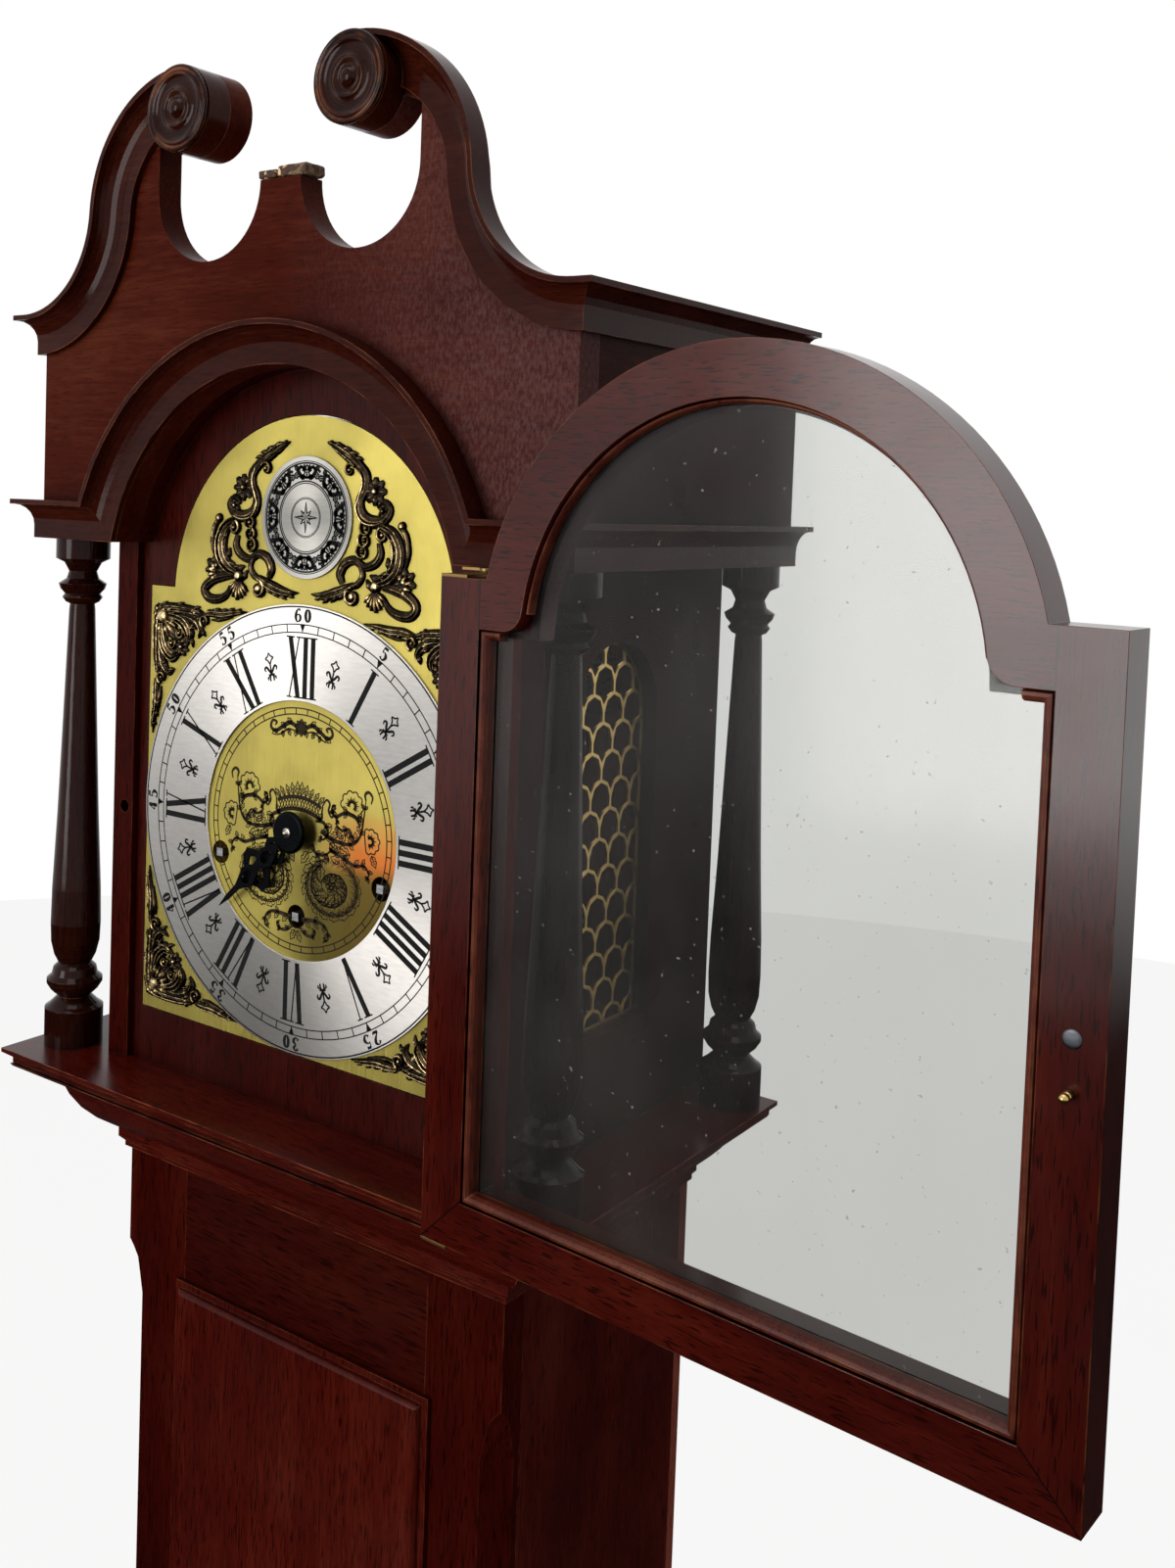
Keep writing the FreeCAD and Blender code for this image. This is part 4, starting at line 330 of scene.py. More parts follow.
# %% [markdown]
# ## Brass
# The dial is lacquered brass, brushed upright, and its centre carries painted reflections: orange at the
# right and smoky olive below it. Fittings and wheels are the same metal without them. The reflections could
# be a painted image. They are worked out from the place on the dial, so they stay sharp at any size.

# %% Brass
CENTRE_RADIUS = 0.0802
ORANGE_REFLECTION, OLIVE_REFLECTION = (0.60, 0.15, 0.030), (0.118, 0.094, 0.022)


def dial_toning(finish, base):
    """Painted reflections on the dial's centre, orange and olive; the ramps start at zero, so what they read
    is shifted up.
    """
    x = finish.axis("X", finish.place)
    z = finish.math("SUBTRACT", finish.axis("Z", finish.place), DIAL_Z)
    reach = finish.math("SQRT", finish.plus(finish.times(x, x), finish.times(z, z)))
    inside = finish.math("LESS_THAN", reach, CENTRE_RADIUS)
    wave = finish.times(finish.noise(finish.mapped(), 40.0, 2.0), 0.012)
    low = finish.plus(finish.plus(z, wave), 0.05)
    # Painted reflection: orange towards the right of the centre.
    orange_reflection_share = finish.times(finish.grey(x, 0.016, 0.050, 0.0, 0.9), finish.grey(low, 0.050, 0.076, 1.0, 0.0))
    base = finish.mix(finish.times(inside, orange_reflection_share), base, ORANGE_REFLECTION)
    # Painted reflection: smoky olive below the orange.
    middle = finish.grey(finish.plus(finish.plus(x, wave), 0.02), 0.008, 0.040, 0.0, 0.96)
    olive_reflection_share = finish.times(middle, finish.grey(low, 0.034, 0.046, 1.0, 0.0))
    return finish.mix(finish.times(inside, olive_reflection_share), base, OLIVE_REFLECTION)


def brass(name, color=(0.62, 0.45, 0.14), rough=0.28, brush=None, recess_darkening=0.4, recess_reach=0.004, painted_reflections=False):
    """Brass: a colour that drifts a little, fine brushing along an axis, and darkening in recesses."""
    finish = Worn(name, rough=rough, metal=1.0)
    drift = finish.noise(finish.mapped(), 22.0, 3.0)
    dark = tuple(c * 0.72 for c in color)
    base = finish.ramp(drift, [(0.30, dark), (0.65, color)])
    # The dial plate's centre gets painted reflections.
    if painted_reflections:
        base = dial_toning(finish, base)
    # Darker in the recesses, found by ambient occlusion.
    shade = finish.grey(finish.crevice(recess_reach), 0.25, 0.9, 1.0 - recess_darkening, 1.0)
    finish.color(finish.mix(1.0, base, shade, "MULTIPLY"))
    if brush:
        stretch = {"X": (1, 40, 40), "Y": (40, 1, 40), "Z": (40, 40, 1)}[brush]
        lines = finish.noise(finish.mapped(stretch), 60.0, 2.0, 0.6)
        finish.rough(finish.grey(lines, 0.3, 0.7, rough * 0.8, rough * 1.35))
        finish.bump(lines, 0.25, 0.0002)
    else:
        finish.bump(drift, 0.08, 0.0004, radius=0.0004)
    return finish.material


print("brass ready")

# %% [markdown]
# ## Bare metals and ink
# The chapter ring is silvered and brushed in circles, so its light runs in sectors like spokes. Thousands
# of fine scratches would be slow, so the shader stretches its highlight along the circles. Hands and arbors
# are steel. The engraved lines are filled with black or brown wax.

# %% Bare metals and ink
def plain_metal(name, color, rough, scratch=0.1, ring=0.0):
    """Bare metal with fine marks; ring is how strongly it is brushed in circles about the dial's centre."""
    finish = Worn(name, rough=rough, metal=1.0)
    marks = finish.noise(finish.mapped((1, 1, 6)), 90.0, 4.0, 0.65)
    finish.color(finish.ramp(marks, [(0.3, tuple(c * 0.85 for c in color)), (0.7, color)]))
    if ring:
        tangent = finish.node("Tangent")
        tangent.direction_type = "RADIAL"
        tangent.axis = "Y"
        finish.feed(finish.shader.inputs["Tangent"], tangent.outputs[0])
        finish.shader.inputs["Anisotropic"].default_value = ring
    else:
        finish.rough(finish.grey(marks, 0.3, 0.7, rough * 0.7, min(1.0, rough * 1.4)))
    finish.bump(marks, scratch, 0.0002, radius=0.0004)
    return finish.material


def ink(name, color=(0.003, 0.003, 0.003), rough=0.6):
    """Black or brown wax in engraved lines, a little uneven."""
    finish = Finish(name, rough=rough)
    spots = finish.noise(finish.mapped(), 700.0, 2.0)
    finish.color(finish.ramp(spots, [(0.3, color), (0.85, tuple(c + 0.012 for c in color))]))
    finish.shader.inputs["Specular IOR Level"].default_value = 0.1
    return finish.material


print("metals and ink ready")

# %% [markdown]
# ## Finishes on the CAD solids
# Each board takes its grain from the way it was sawn: posts, stiles and sides run upright, rails and
# mouldings run across, and side mouldings run front to back. One wood for all would look cast in one piece,
# so each group of boards has its own tone, gloss and wear: brown on the hood's front, deep red below.

# %% Joints of the hood door
STILE, RAIL_REACH, ARCH_FROM = 0.026, 0.035, 0.25
MITRE_WIDTH, SEAM_WIDTH = 0.0006, 0.0005


def door_joints(finish):
    """Where the hood door's grain runs across, and its joint lines, found on the shut door."""
    back = DOOR_SWING.inverted()
    swing = finish.node("Mapping", Rotation=back.to_euler(), Location=back.to_translation())
    finish.feed(swing.inputs["Vector"], finish.place)
    across, upright = (finish.axis(name, swing.outputs[0]) for name in "XZ")
    from_edge = finish.math("SUBTRACT", DOOR_PIVOT.x, finish.math("ABSOLUTE", across))
    from_foot = finish.math("SUBTRACT", upright, DOOR_FOOT)
    mitre = finish.math("SUBTRACT", from_edge, from_foot)
    low = finish.math("LESS_THAN", from_foot, RAIL_REACH)
    rail = finish.times(low, finish.math("GREATER_THAN", mitre, 0.0))
    high = finish.math("GREATER_THAN", from_foot, ARCH_FROM)
    arch = finish.times(high, finish.math("GREATER_THAN", from_edge, STILE))
    mitre_line = finish.times(low, finish.math("LESS_THAN", finish.math("ABSOLUTE", mitre), MITRE_WIDTH))
    seam = finish.math("ABSOLUTE", finish.math("SUBTRACT", from_edge, STILE))
    arch_line = finish.times(high, finish.math("LESS_THAN", seam, SEAM_WIDTH))
    return finish.plus(rail, arch, clamp=True), finish.times(finish.plus(mitre_line, arch_line), 0.8)


print("door joints ready")
# %% Woods and metals of the pieces
# The hood's front carries a painted sheen that grows towards its right.
wood_front = mahogany("wood_front", "X", BROWN_WOOD, tone=1.05, wear=0.5, gloss=0.24, sheen=0.02, pore=0.35,
                      painted_sheen=(0.0, 0.18, 0.17))
wood_neck = mahogany("wood_neck", "X", BROWN_WOOD, tone=0.62, wear=1.3, gloss=0.15, shift=(3, 1, 2),
                     sheen=0.08, pore=0.4)
wood_side = mahogany("wood_side", "Y", BROWN_WOOD, tone=0.5, wear=0.3, gloss=0.30, shift=(1, 4, 0),
                     sheen=0.02)
wood_base = mahogany("wood_base", "X", tone=1.15, wear=1.4, gloss=0.20, shift=(2, 5, 1), sheen=0.20)
wood_post = mahogany("wood_post", "Z", tone=0.75, wear=0.5, gloss=0.24, shift=(5, 2, 0), sheen=0.03)
wood_mask = mahogany("wood_mask", "Z", tone=0.70, wear=0.3, gloss=0.34, shift=(0, 2, 3), sheen=0.08)
wood_column = mahogany("wood_column", "Z", BROWN_WOOD, tone=0.30, wear=0.6, gloss=0.10, shift=(7, 0, 2),
                       sheen=0.12)
wood_trunk = mahogany("wood_trunk", "Z", tone=1.1, wear=0.5, gloss=0.24, shift=(2, 7, 0), sheen=0.12)
wood_rail = mahogany("wood_rail", "X", tone=0.6, wear=0.4, gloss=0.26, shift=(1, 7, 4), sheen=0.06)
wood_door = mahogany("wood_door", "Z", tone=0.95, wear=0.7, gloss=0.16, shift=(4, 4, 1), across=door_joints,
                     sheen=0.29)
wood_plain = mahogany("wood_plain", "Z", BROWN_WOOD, tone=2.6, wear=0.2, gloss=0.7, sheen=0.2)
brass_plate = brass("brass_plate", (0.495, 0.41, 0.102), 0.38, brush="Z", recess_darkening=0.4, painted_reflections=True)
brass_fret = brass("brass_fret", (0.95, 0.66, 0.25), 0.30, recess_darkening=0.5, recess_reach=0.003)
brass_fittings = brass("brass_fittings", (0.24, 0.15, 0.055), 0.36, recess_darkening=0.6)
brass_movement = brass("brass_movement", (0.60, 0.43, 0.15), 0.30, recess_darkening=0.5, recess_reach=0.01)
silver = plain_metal("silver", (0.66, 0.635, 0.60), 0.36, 0.04, ring=0.7)
boss_silver = plain_metal("boss_silver", (0.40, 0.39, 0.36), 0.34, 0.04, ring=0.6)
steel = plain_metal("steel", (0.42, 0.42, 0.43), 0.32)
black_steel = plain_metal("black_steel", (0.0045, 0.0050, 0.0060), 0.33)

print("woods and metals made")

# %% Finishes on the CAD solids
FINISHES = {
    wood_front: ("tympanum", "plinth_cap"),
    wood_neck: ("swan_neck_left", "swan_neck_right", "lower_cornice"),
    wood_side: ("hood_side_left", "hood_side_right"),
    wood_base: ("hood_base", "throat_moulding", "base_moulding", "skirting"),
    wood_post: ("hood_jambs", "corner_post_left", "corner_post_right"),
    wood_mask: ("dial_mask",),
    wood_column: ("column_front_left", "column_front_right", "column_rear_left", "column_rear_right"),
    wood_trunk: ("trunk_side_left", "trunk_side_right", "trunk_door", "base_front", "base_side_left",
                 "base_side_right"),
    wood_rail: ("rail_top", "rail_bottom"),
    wood_door: ("hood_door",),
    wood_plain: ("backboard", "base_board", "seat_board", "hood_roof"),
    brass_plate: ("dial_plate", "spandrels"),
    brass_fret: ("side_frets",),
    brass_fittings: ("hinge_brackets", "hood_door_fittings", "trunk_door_fittings", "ring_pull"),
    brass_movement: ("movement_frame", "centre_wheel", "third_wheel", "escape_wheel", "going_barrel",
                     "side_barrels", "minute_wheel", "hour_wheel", "pendulum_bob"),
    silver: ("chapter_ring",),
    boss_silver: ("arch_boss",),
    steel: ("winding_arbor_left", "winding_arbor_centre", "winding_arbor_right", "pallets", "pendulum_rod",
            "chime_rods", "chime_hammers"),
    black_steel: ("hour_hand", "minute_hand"),
}


def dress(name, material):
    """Give a CAD node its finish."""
    for slot in nodes[name].material_slots:
        slot.material = material


for material, names in FINISHES.items():
    for name in names:
        dress(name, material)
print("finished", sum(len(names) for names in FINISHES.values()), "nodes")

# %% [markdown]
# ## Glass
# The pane is old glass with smears and dust. Real refraction through both faces would be slow and would
# bend nothing that one can see in a flat pane, so it lets light straight through, a little dimmed, mirrors
# the pale room faintly, and carries a film that thickens into specks.

# %% Glass
pane = Finish("pane", rough=0.5, color=(0.34, 0.34, 0.33))
smear = pane.noise(pane.mapped((1, 1, 0.6), turn=(0, 20, 0)), 9.0, 4.0, 0.6)
specks = pane.grey(pane.noise(pane.mapped(), 420.0, 1.0, 0.3), 0.76, 0.82, 0.0, 0.5)
film = pane.plus(pane.grey(smear, 0.35, 0.75, 0.005, 0.06), specks, clamp=True)
clear = pane.node("BsdfTransparent", Color=(0.79, 0.795, 0.78, 1)).outputs[0]
mirror = pane.node("BsdfGlossy", Roughness=0.12).outputs[0]
bare = pane.blend(0.013, clear, mirror)
pane.surface(pane.blend(film, bare, pane.shader.outputs[0]))
dress("hood_door_glass", pane.material)
print("glass ready")

# %% [markdown]
# ## Lines on the dial
# Points on the dial are complex numbers in millimetres from its centre: x to the right, the imaginary part
# up. Vectors would do as well, but with complex numbers turning, mirroring and moving an ornament are plain
# arithmetic.

# %% Lines on the dial
def smooth(points, steps=6):
    """Points along a smooth line through the given ones."""
    ends = [2 * points[0] - points[1], *points, 2 * points[-1] - points[-2]]
    line = []
    for a, b, c, d in zip(ends, ends[1:], ends[2:], ends[3:]):
        for step in range(steps):
            t = step / steps
            line.append(0.5 * (2 * b + (c - a) * t + (2 * a - 5 * b + 4 * c - d) * t * t
                               + (3 * b - a - 3 * c + d) * t ** 3))
    return line + [points[-1]]


def polar(radius, degrees):
    """A point at a clock angle, which runs clockwise from the top."""
    return radius * complex(math.sin(math.radians(degrees)), math.cos(math.radians(degrees)))


def turned(degrees):
    """A placing that turns a drawing from the top of the dial to a clock angle."""
    return lambda point: point * polar(1, degrees) / 1j


def mirrored(point):
    return -point.conjugate()


def straight(point):
    return point


def ring_points(centre, radius, count):
    """Points round a circle."""
    return [centre + polar(radius, 360 * n / count) for n in range(count)]


def unit(step):
    """A step's direction, with length one."""
    return step / (abs(step) or 1)


def spread(values, count):
    """Values at even steps along a list, with straight runs between."""
    result = []
    for n in range(count):
        place = n / (count - 1) * (len(values) - 1)
        low = min(int(place), len(values) - 2)
        result.append(values[low] + (values[low + 1] - values[low]) * (place - low))
    return result


print("line helpers ready")

# %% [markdown]
# ## Drawing kit
# Engraved lines could be an image on the dial. They are thin ribbons of mesh instead, so they stay crisp in
# any close view. `Drawing` gathers the ribbons and makes one piece of them.

# %% Named pieces
def make_piece(name, shape, material, body, smoothed):
    """Turn a bmesh into a named piece that rides on a body and fills its mesh's material slot."""
    mesh = bpy.data.meshes.new(name)
    shape.to_mesh(mesh)
    shape.free()
    mesh.materials.append(material)
    for polygon in mesh.polygons:
        polygon.use_smooth = smoothed
    made = bpy.data.objects.new(name, mesh)
    scene.collection.objects.link(made)
    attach(made, body)
    return made


print("pieces can be made")

# %% Drawing kit
INK_THICK = 0.05


class Drawing:
    """Shapes on the dial that become one mesh, each placed through the function `place`."""

    def __init__(self, weight=1.0):
        self.shape = bmesh.new()
        self.place = straight
        self.weight = weight

    def vertex(self, point, height=0.0):
        spot = self.place(point)
        return self.shape.verts.new((spot.real * MM, -height * MM, spot.imag * MM))

    def area(self, points):
        self.shape.faces.new([self.vertex(point) for point in points])

    def line(self, points, widths=(0.4,), steps=6, closed=False):
        """A ribbon along a smooth line; the widths are spread along it."""
        points = [complex(p) for p in points]
        run = smooth(points, steps) if steps else points
        widths = list(widths) * 2 if len(widths) == 1 else list(widths)
        rows = []
        for n, (point, width) in enumerate(zip(run, spread(widths, len(run)))):
            after = run[(n + 1) % len(run)] if closed else run[min(n + 1, len(run) - 1)]
            before = run[n - 1] if closed or n else run[0]
            side = 0.5j * self.weight * width * unit(after - before)
            rows.append((self.vertex(point + side), self.vertex(point - side)))
        for (a, b), (c, d) in zip(rows, rows[1:] + rows[:1] * closed):
            self.shape.faces.new([a, b, d, c])

    def circle(self, radius, width, centre=0j, count=144):
        self.line(ring_points(centre, radius, count), (width,), 0, True)

    def dot(self, centre, radius, count=12):
        self.area(ring_points(centre, radius, count))

    def piece(self, name, y, material, slot, thick=INK_THICK, smoothed=False):
        """Stand the drawing up on the dial at the depth y, facing the viewer; it rides on the case."""
        bmesh.ops.recalc_face_normals(self.shape, faces=self.shape.faces)
        if thick:
            for face in self.shape.faces:
                if face.normal.y > 0:
                    face.normal_flip()
            made = bmesh.ops.extrude_face_region(self.shape, geom=self.shape.faces[:])
            for item in made["geom"]:
                if isinstance(item, bmesh.types.BMVert):
                    item.co.y -= thick * MM
        bmesh.ops.translate(self.shape, verts=self.shape.verts, vec=(0, y, DIAL_Z))
        return make_piece(name, self.shape, material, "case", smoothed)


PLATE_Y = DIAL_Y + 0.0014
dial_ink = ink("dial_ink")
brown_ink = ink("brown_ink", (0.020, 0.011, 0.004), 0.5)
print("drawing kit ready")

# %% [markdown]
# ## Hour numerals
# The silvered ring carries Roman hours with their feet to the centre. A font would bring its own shapes, so
# each letter is drawn from three strokes: a thick one, a thin one and serifs. One numeral is drawn at the
# top of the ring and turned to its hour.

# %% Hour numerals
NUMERALS = ("XII", "I", "II", "III", "IIII", "V", "VI", "VII", "VIII", "IX", "X", "XI")
FOOT, HEAD = 82.0, 119.0
THICK, THIN, SERIF = 3.7, 1.0, 0.9
LETTER_WIDTH = {"I": 6.2, "V": 12.4, "X": 12.4}


def numeral(drawing, text):
    """One hour numeral at the top of the ring."""
    x = -sum(LETTER_WIDTH[letter] for letter in text) / 2
    for letter in text:
        width = LETTER_WIDTH[letter]
        left, middle, right = x + 2.6, x + width / 2, x + width - 2.6
        if letter == "I":
            strokes = [(middle, middle, THICK)]
        elif letter == "V":
            strokes = [(middle, left, THICK), (middle + 0.6, right, THIN)]
        else:
            strokes = [(right, left, THICK), (left, right, THIN)]
        for foot, head, weight in strokes:
            drawing.line([complex(foot, FOOT), complex(head, HEAD)], (weight,), 0)
            reach = weight / 2 + 1.7
            drawing.line([complex(head - reach, HEAD), complex(head + reach, HEAD)], (SERIF,), 0)
            if letter != "V":
                drawing.line([complex(foot - reach, FOOT), complex(foot + reach, FOOT)], (SERIF,), 0)
        x += width


drawing = Drawing()
for hour, text in enumerate(NUMERALS):
    drawing.place = turned(30 * hour)
    numeral(drawing, text)
drawing.piece("hour_numerals", DIAL_Y, dial_ink, "silvered")
print("numerals drawn")

# %% [markdown]
# ## Minute track and figures
# Outside the numerals run two circles with a bar at each minute and a wedge at every fifth, and small
# figures stand outside the track. The figures are strokes in a box one unit high, so one set of points
# serves all sizes.

# %% Small figures
FIGURE_FOOT, FIGURE_HEIGHT = 128.6, 7.8

# Strokes of the minute figures in a box one unit high: points, then widths. The nought is an oval.
FIGURES = {
    "0": [(None, None)],
    "1": [([0.30 + 0.02j, 0.30 + 0.98j], (0.15,)), ([0.10 + 0.78j, 0.30 + 0.97j], (0.05, 0.07)),
          ([0.10 + 0.02j, 0.50 + 0.02j], (0.05,))],
    "2": [([0.05 + 0.74j, 0.12 + 0.92j, 0.32 + 1j, 0.52 + 0.82j, 0.47 + 0.58j, 0.26 + 0.30j, 0.05 + 0.05j],
           (0.12, 0.06, 0.05, 0.15, 0.14, 0.07, 0.05)), ([0.04 + 0.05j, 0.56 + 0.05j], (0.11,)),
          ([0.56 + 0.03j, 0.60 + 0.2j], (0.04,))],
    "3": [([0.06 + 0.82j, 0.26 + 1j, 0.49 + 0.80j, 0.26 + 0.55j], (0.12, 0.05, 0.14, 0.05)),
          ([0.26 + 0.55j, 0.54 + 0.32j, 0.42 + 0.04j, 0.20 + 0j, 0.04 + 0.16j],
           (0.05, 0.16, 0.09, 0.05, 0.12))],
    "4": [([0.40 + 1j, 0.02 + 0.28j], (0.05,)), ([0.02 + 0.28j, 0.60 + 0.28j], (0.06,)),
          ([0.42 + 0.98j, 0.42 + 0j], (0.14,)), ([0.28 + 0.02j, 0.56 + 0.02j], (0.05,))],
    "5": [([0.11 + 0.95j, 0.52 + 0.95j], (0.11,)), ([0.12 + 0.97j, 0.09 + 0.54j], (0.05,)),
          ([0.09 + 0.54j, 0.30 + 0.62j, 0.54 + 0.36j, 0.42 + 0.05j, 0.20 + 0j, 0.04 + 0.14j],
           (0.04, 0.05, 0.16, 0.09, 0.05, 0.12))],
    "6": [([0.50 + 0.88j, 0.34 + 1j, 0.12 + 0.78j, 0.04 + 0.38j, 0.14 + 0.06j, 0.31 + 0j, 0.52 + 0.16j,
            0.52 + 0.42j, 0.34 + 0.58j, 0.12 + 0.44j],
           (0.12, 0.05, 0.11, 0.15, 0.09, 0.05, 0.12, 0.13, 0.05, 0.05))],
}


def figure(drawing, digit, left):
    """One small figure with its foot on the minute track."""
    for points, widths in FIGURES[digit]:
        if widths is None:
            points = [0.28 + 0.5j + complex(0.22 * math.sin(a), 0.46 * math.cos(a))
                      for a in (math.pi * n / 8 for n in range(17))]
            widths = [0.06 + 0.10 * abs(math.sin(math.pi * n / 8)) for n in range(17)]
        at = [left + FIGURE_HEIGHT * point + 1j * FIGURE_FOOT for point in points]
        drawing.line(at, [FIGURE_HEIGHT * width for width in widths], 4)


print("small figures ready")

# %% Minute track and figures
TRACK_IN, TRACK_OUT, RING_LINE = 122.0, 127.0, 137.8

drawing = Drawing(1.6)
for radius, width in ((TRACK_IN, 0.45), (TRACK_OUT, 0.45), (RING_LINE, 0.6)):
    drawing.circle(radius, width)
for minute in range(60):
    drawing.place = turned(6 * minute)
    drawing.line([1j * TRACK_IN, 1j * TRACK_OUT], (0.5,), 0)
    if minute % 5 == 0:
        drawing.area([complex(-2.2, TRACK_OUT), complex(2.2, TRACK_OUT), complex(0, TRACK_IN)])
drawing.piece("minute_track", DIAL_Y, dial_ink, "silvered")

drawing = Drawing(2.0)
for minute in range(5, 65, 5):
    digits = str(minute)
    drawing.place = turned(6 * minute)
    pitch = FIGURE_HEIGHT * 1.05
    for n, digit in enumerate(digits):
        figure(drawing, digit, pitch * (n - (len(digits) - 1) / 2) - FIGURE_HEIGHT * 0.28)
drawing.piece("minute_figures", DIAL_Y, dial_ink, "silvered")
print("minute track and figures drawn")

# %% [markdown]
# ## Half-hour marks
# Between two hours stands a small lily: a bud over two curls and a foot. Half of it is drawn and mirrored,
# because that is how a punch-cutter checks one too.

# %% Half-hour marks
def lily(drawing):
    """A half-hour mark: a bud over two curls and a foot."""
    for side in (1, -1):
        def at(x, y):
            return complex(side * x, y)
        drawing.line([at(0, 111), at(1.3, 108.8), at(3.4, 107.6), at(1.5, 106.2), at(0, 103.6)],
                     (0.6, 0.7, 0.7), 3)
        drawing.line([at(0.2, 98), at(1.8, 100.2), at(3.6, 102.4), at(5.2, 101.4), at(4.4, 99.6)],
                     (0.8, 1.1, 1.0, 0.9, 0.5), 4)
        drawing.line([at(1.2, 97), at(1.6, 95.0), at(1.4, 93.2)], (1.0, 0.9, 0.7), 3)
        drawing.line([at(2.4, 96.4), at(3.4, 95.4), at(3.2, 94.0)], (0.5, 0.9, 0.4), 3)
    drawing.line([104 * 1j, 97 * 1j], (0.8,), 0)
    drawing.line([-2.6 + 97.2j, 2.6 + 97.2j], (0.9,), 0)


drawing = Drawing(1.6)
for hour in range(12):
    drawing.place = turned(30 * hour + 15)
    lily(drawing)
drawing.piece("half_hour_lilies", DIAL_Y, dial_ink, "silvered")
print("chapter ring drawn")

# %% [markdown]
# ## Leaves and scrolls of the engraving
# Engravers build their work from a few motifs: an outlined leaf, a half-open flower, a leafy stem and a
# round scroll. Each is a function here, so the pattern can be laid out by a few points of its main stems.

# %% Leaf and blossom
def leaf(drawing, base, tip, bulge, width=0.45, ribs=3):
    """An outlined leaf with a midrib and short shading lines.

    bulge is its half width as a share of its length.
    """
    along = tip - base
    side = 1j * along * bulge
    for sign in (1, -1):
        edge = [base, base + 0.25 * along + sign * 0.75 * side, base + 0.45 * along + sign * 0.55 * side,
                base + 0.58 * along + sign * 0.80 * side, base + 0.78 * along + sign * 0.35 * side, tip]
        drawing.line(edge, (width * 0.7, width, width * 0.6), 3)
    drawing.line([base, base + 0.7 * along], (width, width * 0.4), 0)
    for n in range(ribs):
        start = base + along * (0.2 + 0.18 * n)
        drawing.line([start, start + 0.10 * along + 0.35 * side], (width * 0.6, 0.1), 0)
        drawing.line([start, start + 0.10 * along - 0.35 * side], (width * 0.6, 0.1), 0)


def blossom(drawing, centre, radius, facing, lobes=6, width=0.5):
    """A half-opened flower seen from the side, with a dark fan of lines at its heart."""
    rim = []
    for n in range(lobes * 6 + 1):
        angle = facing - 125 + 250 * n / (lobes * 6)
        rim.append(centre + polar(radius * (0.86 + 0.14 * abs(math.sin(math.pi * n / 6))), angle))
    drawing.line(rim, (width,), 0)
    for n in range(lobes * 2 + 1):
        angle = facing - 115 + 230 * n / (lobes * 2)
        reach = radius * (0.62 if n % 2 else 0.5)
        drawing.line([centre + polar(radius * 0.18, angle), centre + polar(reach, angle)],
                     (width * 1.7, width * 0.4), 0)
    drawing.line([rim[0], centre - polar(radius * 0.5, facing), rim[-1]], (width,), 4)


print("leaf and blossom ready")

# %% Leafy stem and round scroll
def frond(drawing, points, width=0.9, leaves=5, size=6.0, side=1):
    """A stem drawn as two lines, with leaves on both sides that grow smaller to the tip."""
    run = smooth([complex(p) for p in points], 8)
    drawing.line(points, (width, width * 0.8, width * 0.3), 8)
    shifted = []
    for n, point in enumerate(run):
        along = unit(run[min(n + 1, len(run) - 1)] - run[max(n - 1, 0)])
        shifted.append(point + side * 1.7j * along * (1 - n / len(run)))
    drawing.line(shifted[::4], (0.4,), 3)
    for n in range(leaves):
        share = (n + 0.5) / leaves
        index = int(share * (len(run) - 2))
        along = unit(run[index + 1] - run[index])
        grown = size * (1 - 0.55 * share)
        leaf(drawing, run[index], run[index] + grown * along * complex(0.55, 0.85 * side), 0.32, 0.45, 2)
        if n % 2:
            tip = run[index] + 0.7 * grown * along * complex(0.75, -0.7 * side)
            leaf(drawing, run[index], tip, 0.34, 0.4, 1)


def round_scroll(drawing, centre, across, tall, tilt, hand, hatch):
    """A large leafy curl inside an oval of overlapping leaves; hatch is the number of shading lines."""
    lean = polar(1, tilt) / 1j

    def at(radius, degrees):
        point = polar(radius, degrees * hand)
        return centre + complex(point.real * across, point.imag * tall) * lean

    for share, width in ((1.0, 0.5), (0.94, 0.35)):
        drawing.line([at(share, 360 * n / 48) for n in range(43)], (width,), 0)
    for n in range(17):
        leaf(drawing, at(0.96, 21 * n), at(0.98 + 0.24 * (1 - n / 26), 21 * n + 21), 0.40, 0.45, 2)
    for inset, width in ((0.0, 0.9), (0.08, 0.4)):
        drawing.line([at(0.86 - inset - 0.46 * n / 42, 20 + 400 * n / 42) for n in range(43)],
                     (width, width * 0.6), 0)
    for n in range(9):
        turn, radius = 26 + 44 * n, 0.84 - 0.46 * 44 * n / 400
        leaf(drawing, at(radius, turn), at(max(0.16, radius - 0.42), turn + 46), 0.44, 0.5, 4)
        leaf(drawing, at(radius, turn + 18), at(max(0.12, radius - 0.20), turn + 52), 0.38, 0.4, 1)
    for n in range(hatch):
        turn = 360 * n / hatch
        drawing.line([at(0.93, turn), at(0.82 - 0.05 * (n % 3), turn + 5)], (0.4, 0.12), 0)
    for n in range(6):
        leaf(drawing, at(0.04, 60 * n), at(0.24, 60 * n + 20), 0.45, 0.45, 1)


print("stem and round scroll ready")

# %% [markdown]
# ## Engraved dial centre
# The gilt centre has a track like a ladder at its edge, a scrolled crest at the top, and below it a crown
# between leafy scrolls over two round scrolls. The pattern is the same on both sides but for the round
# scrolls, so the right half is drawn and mirrored. The space under the crest stays bare.

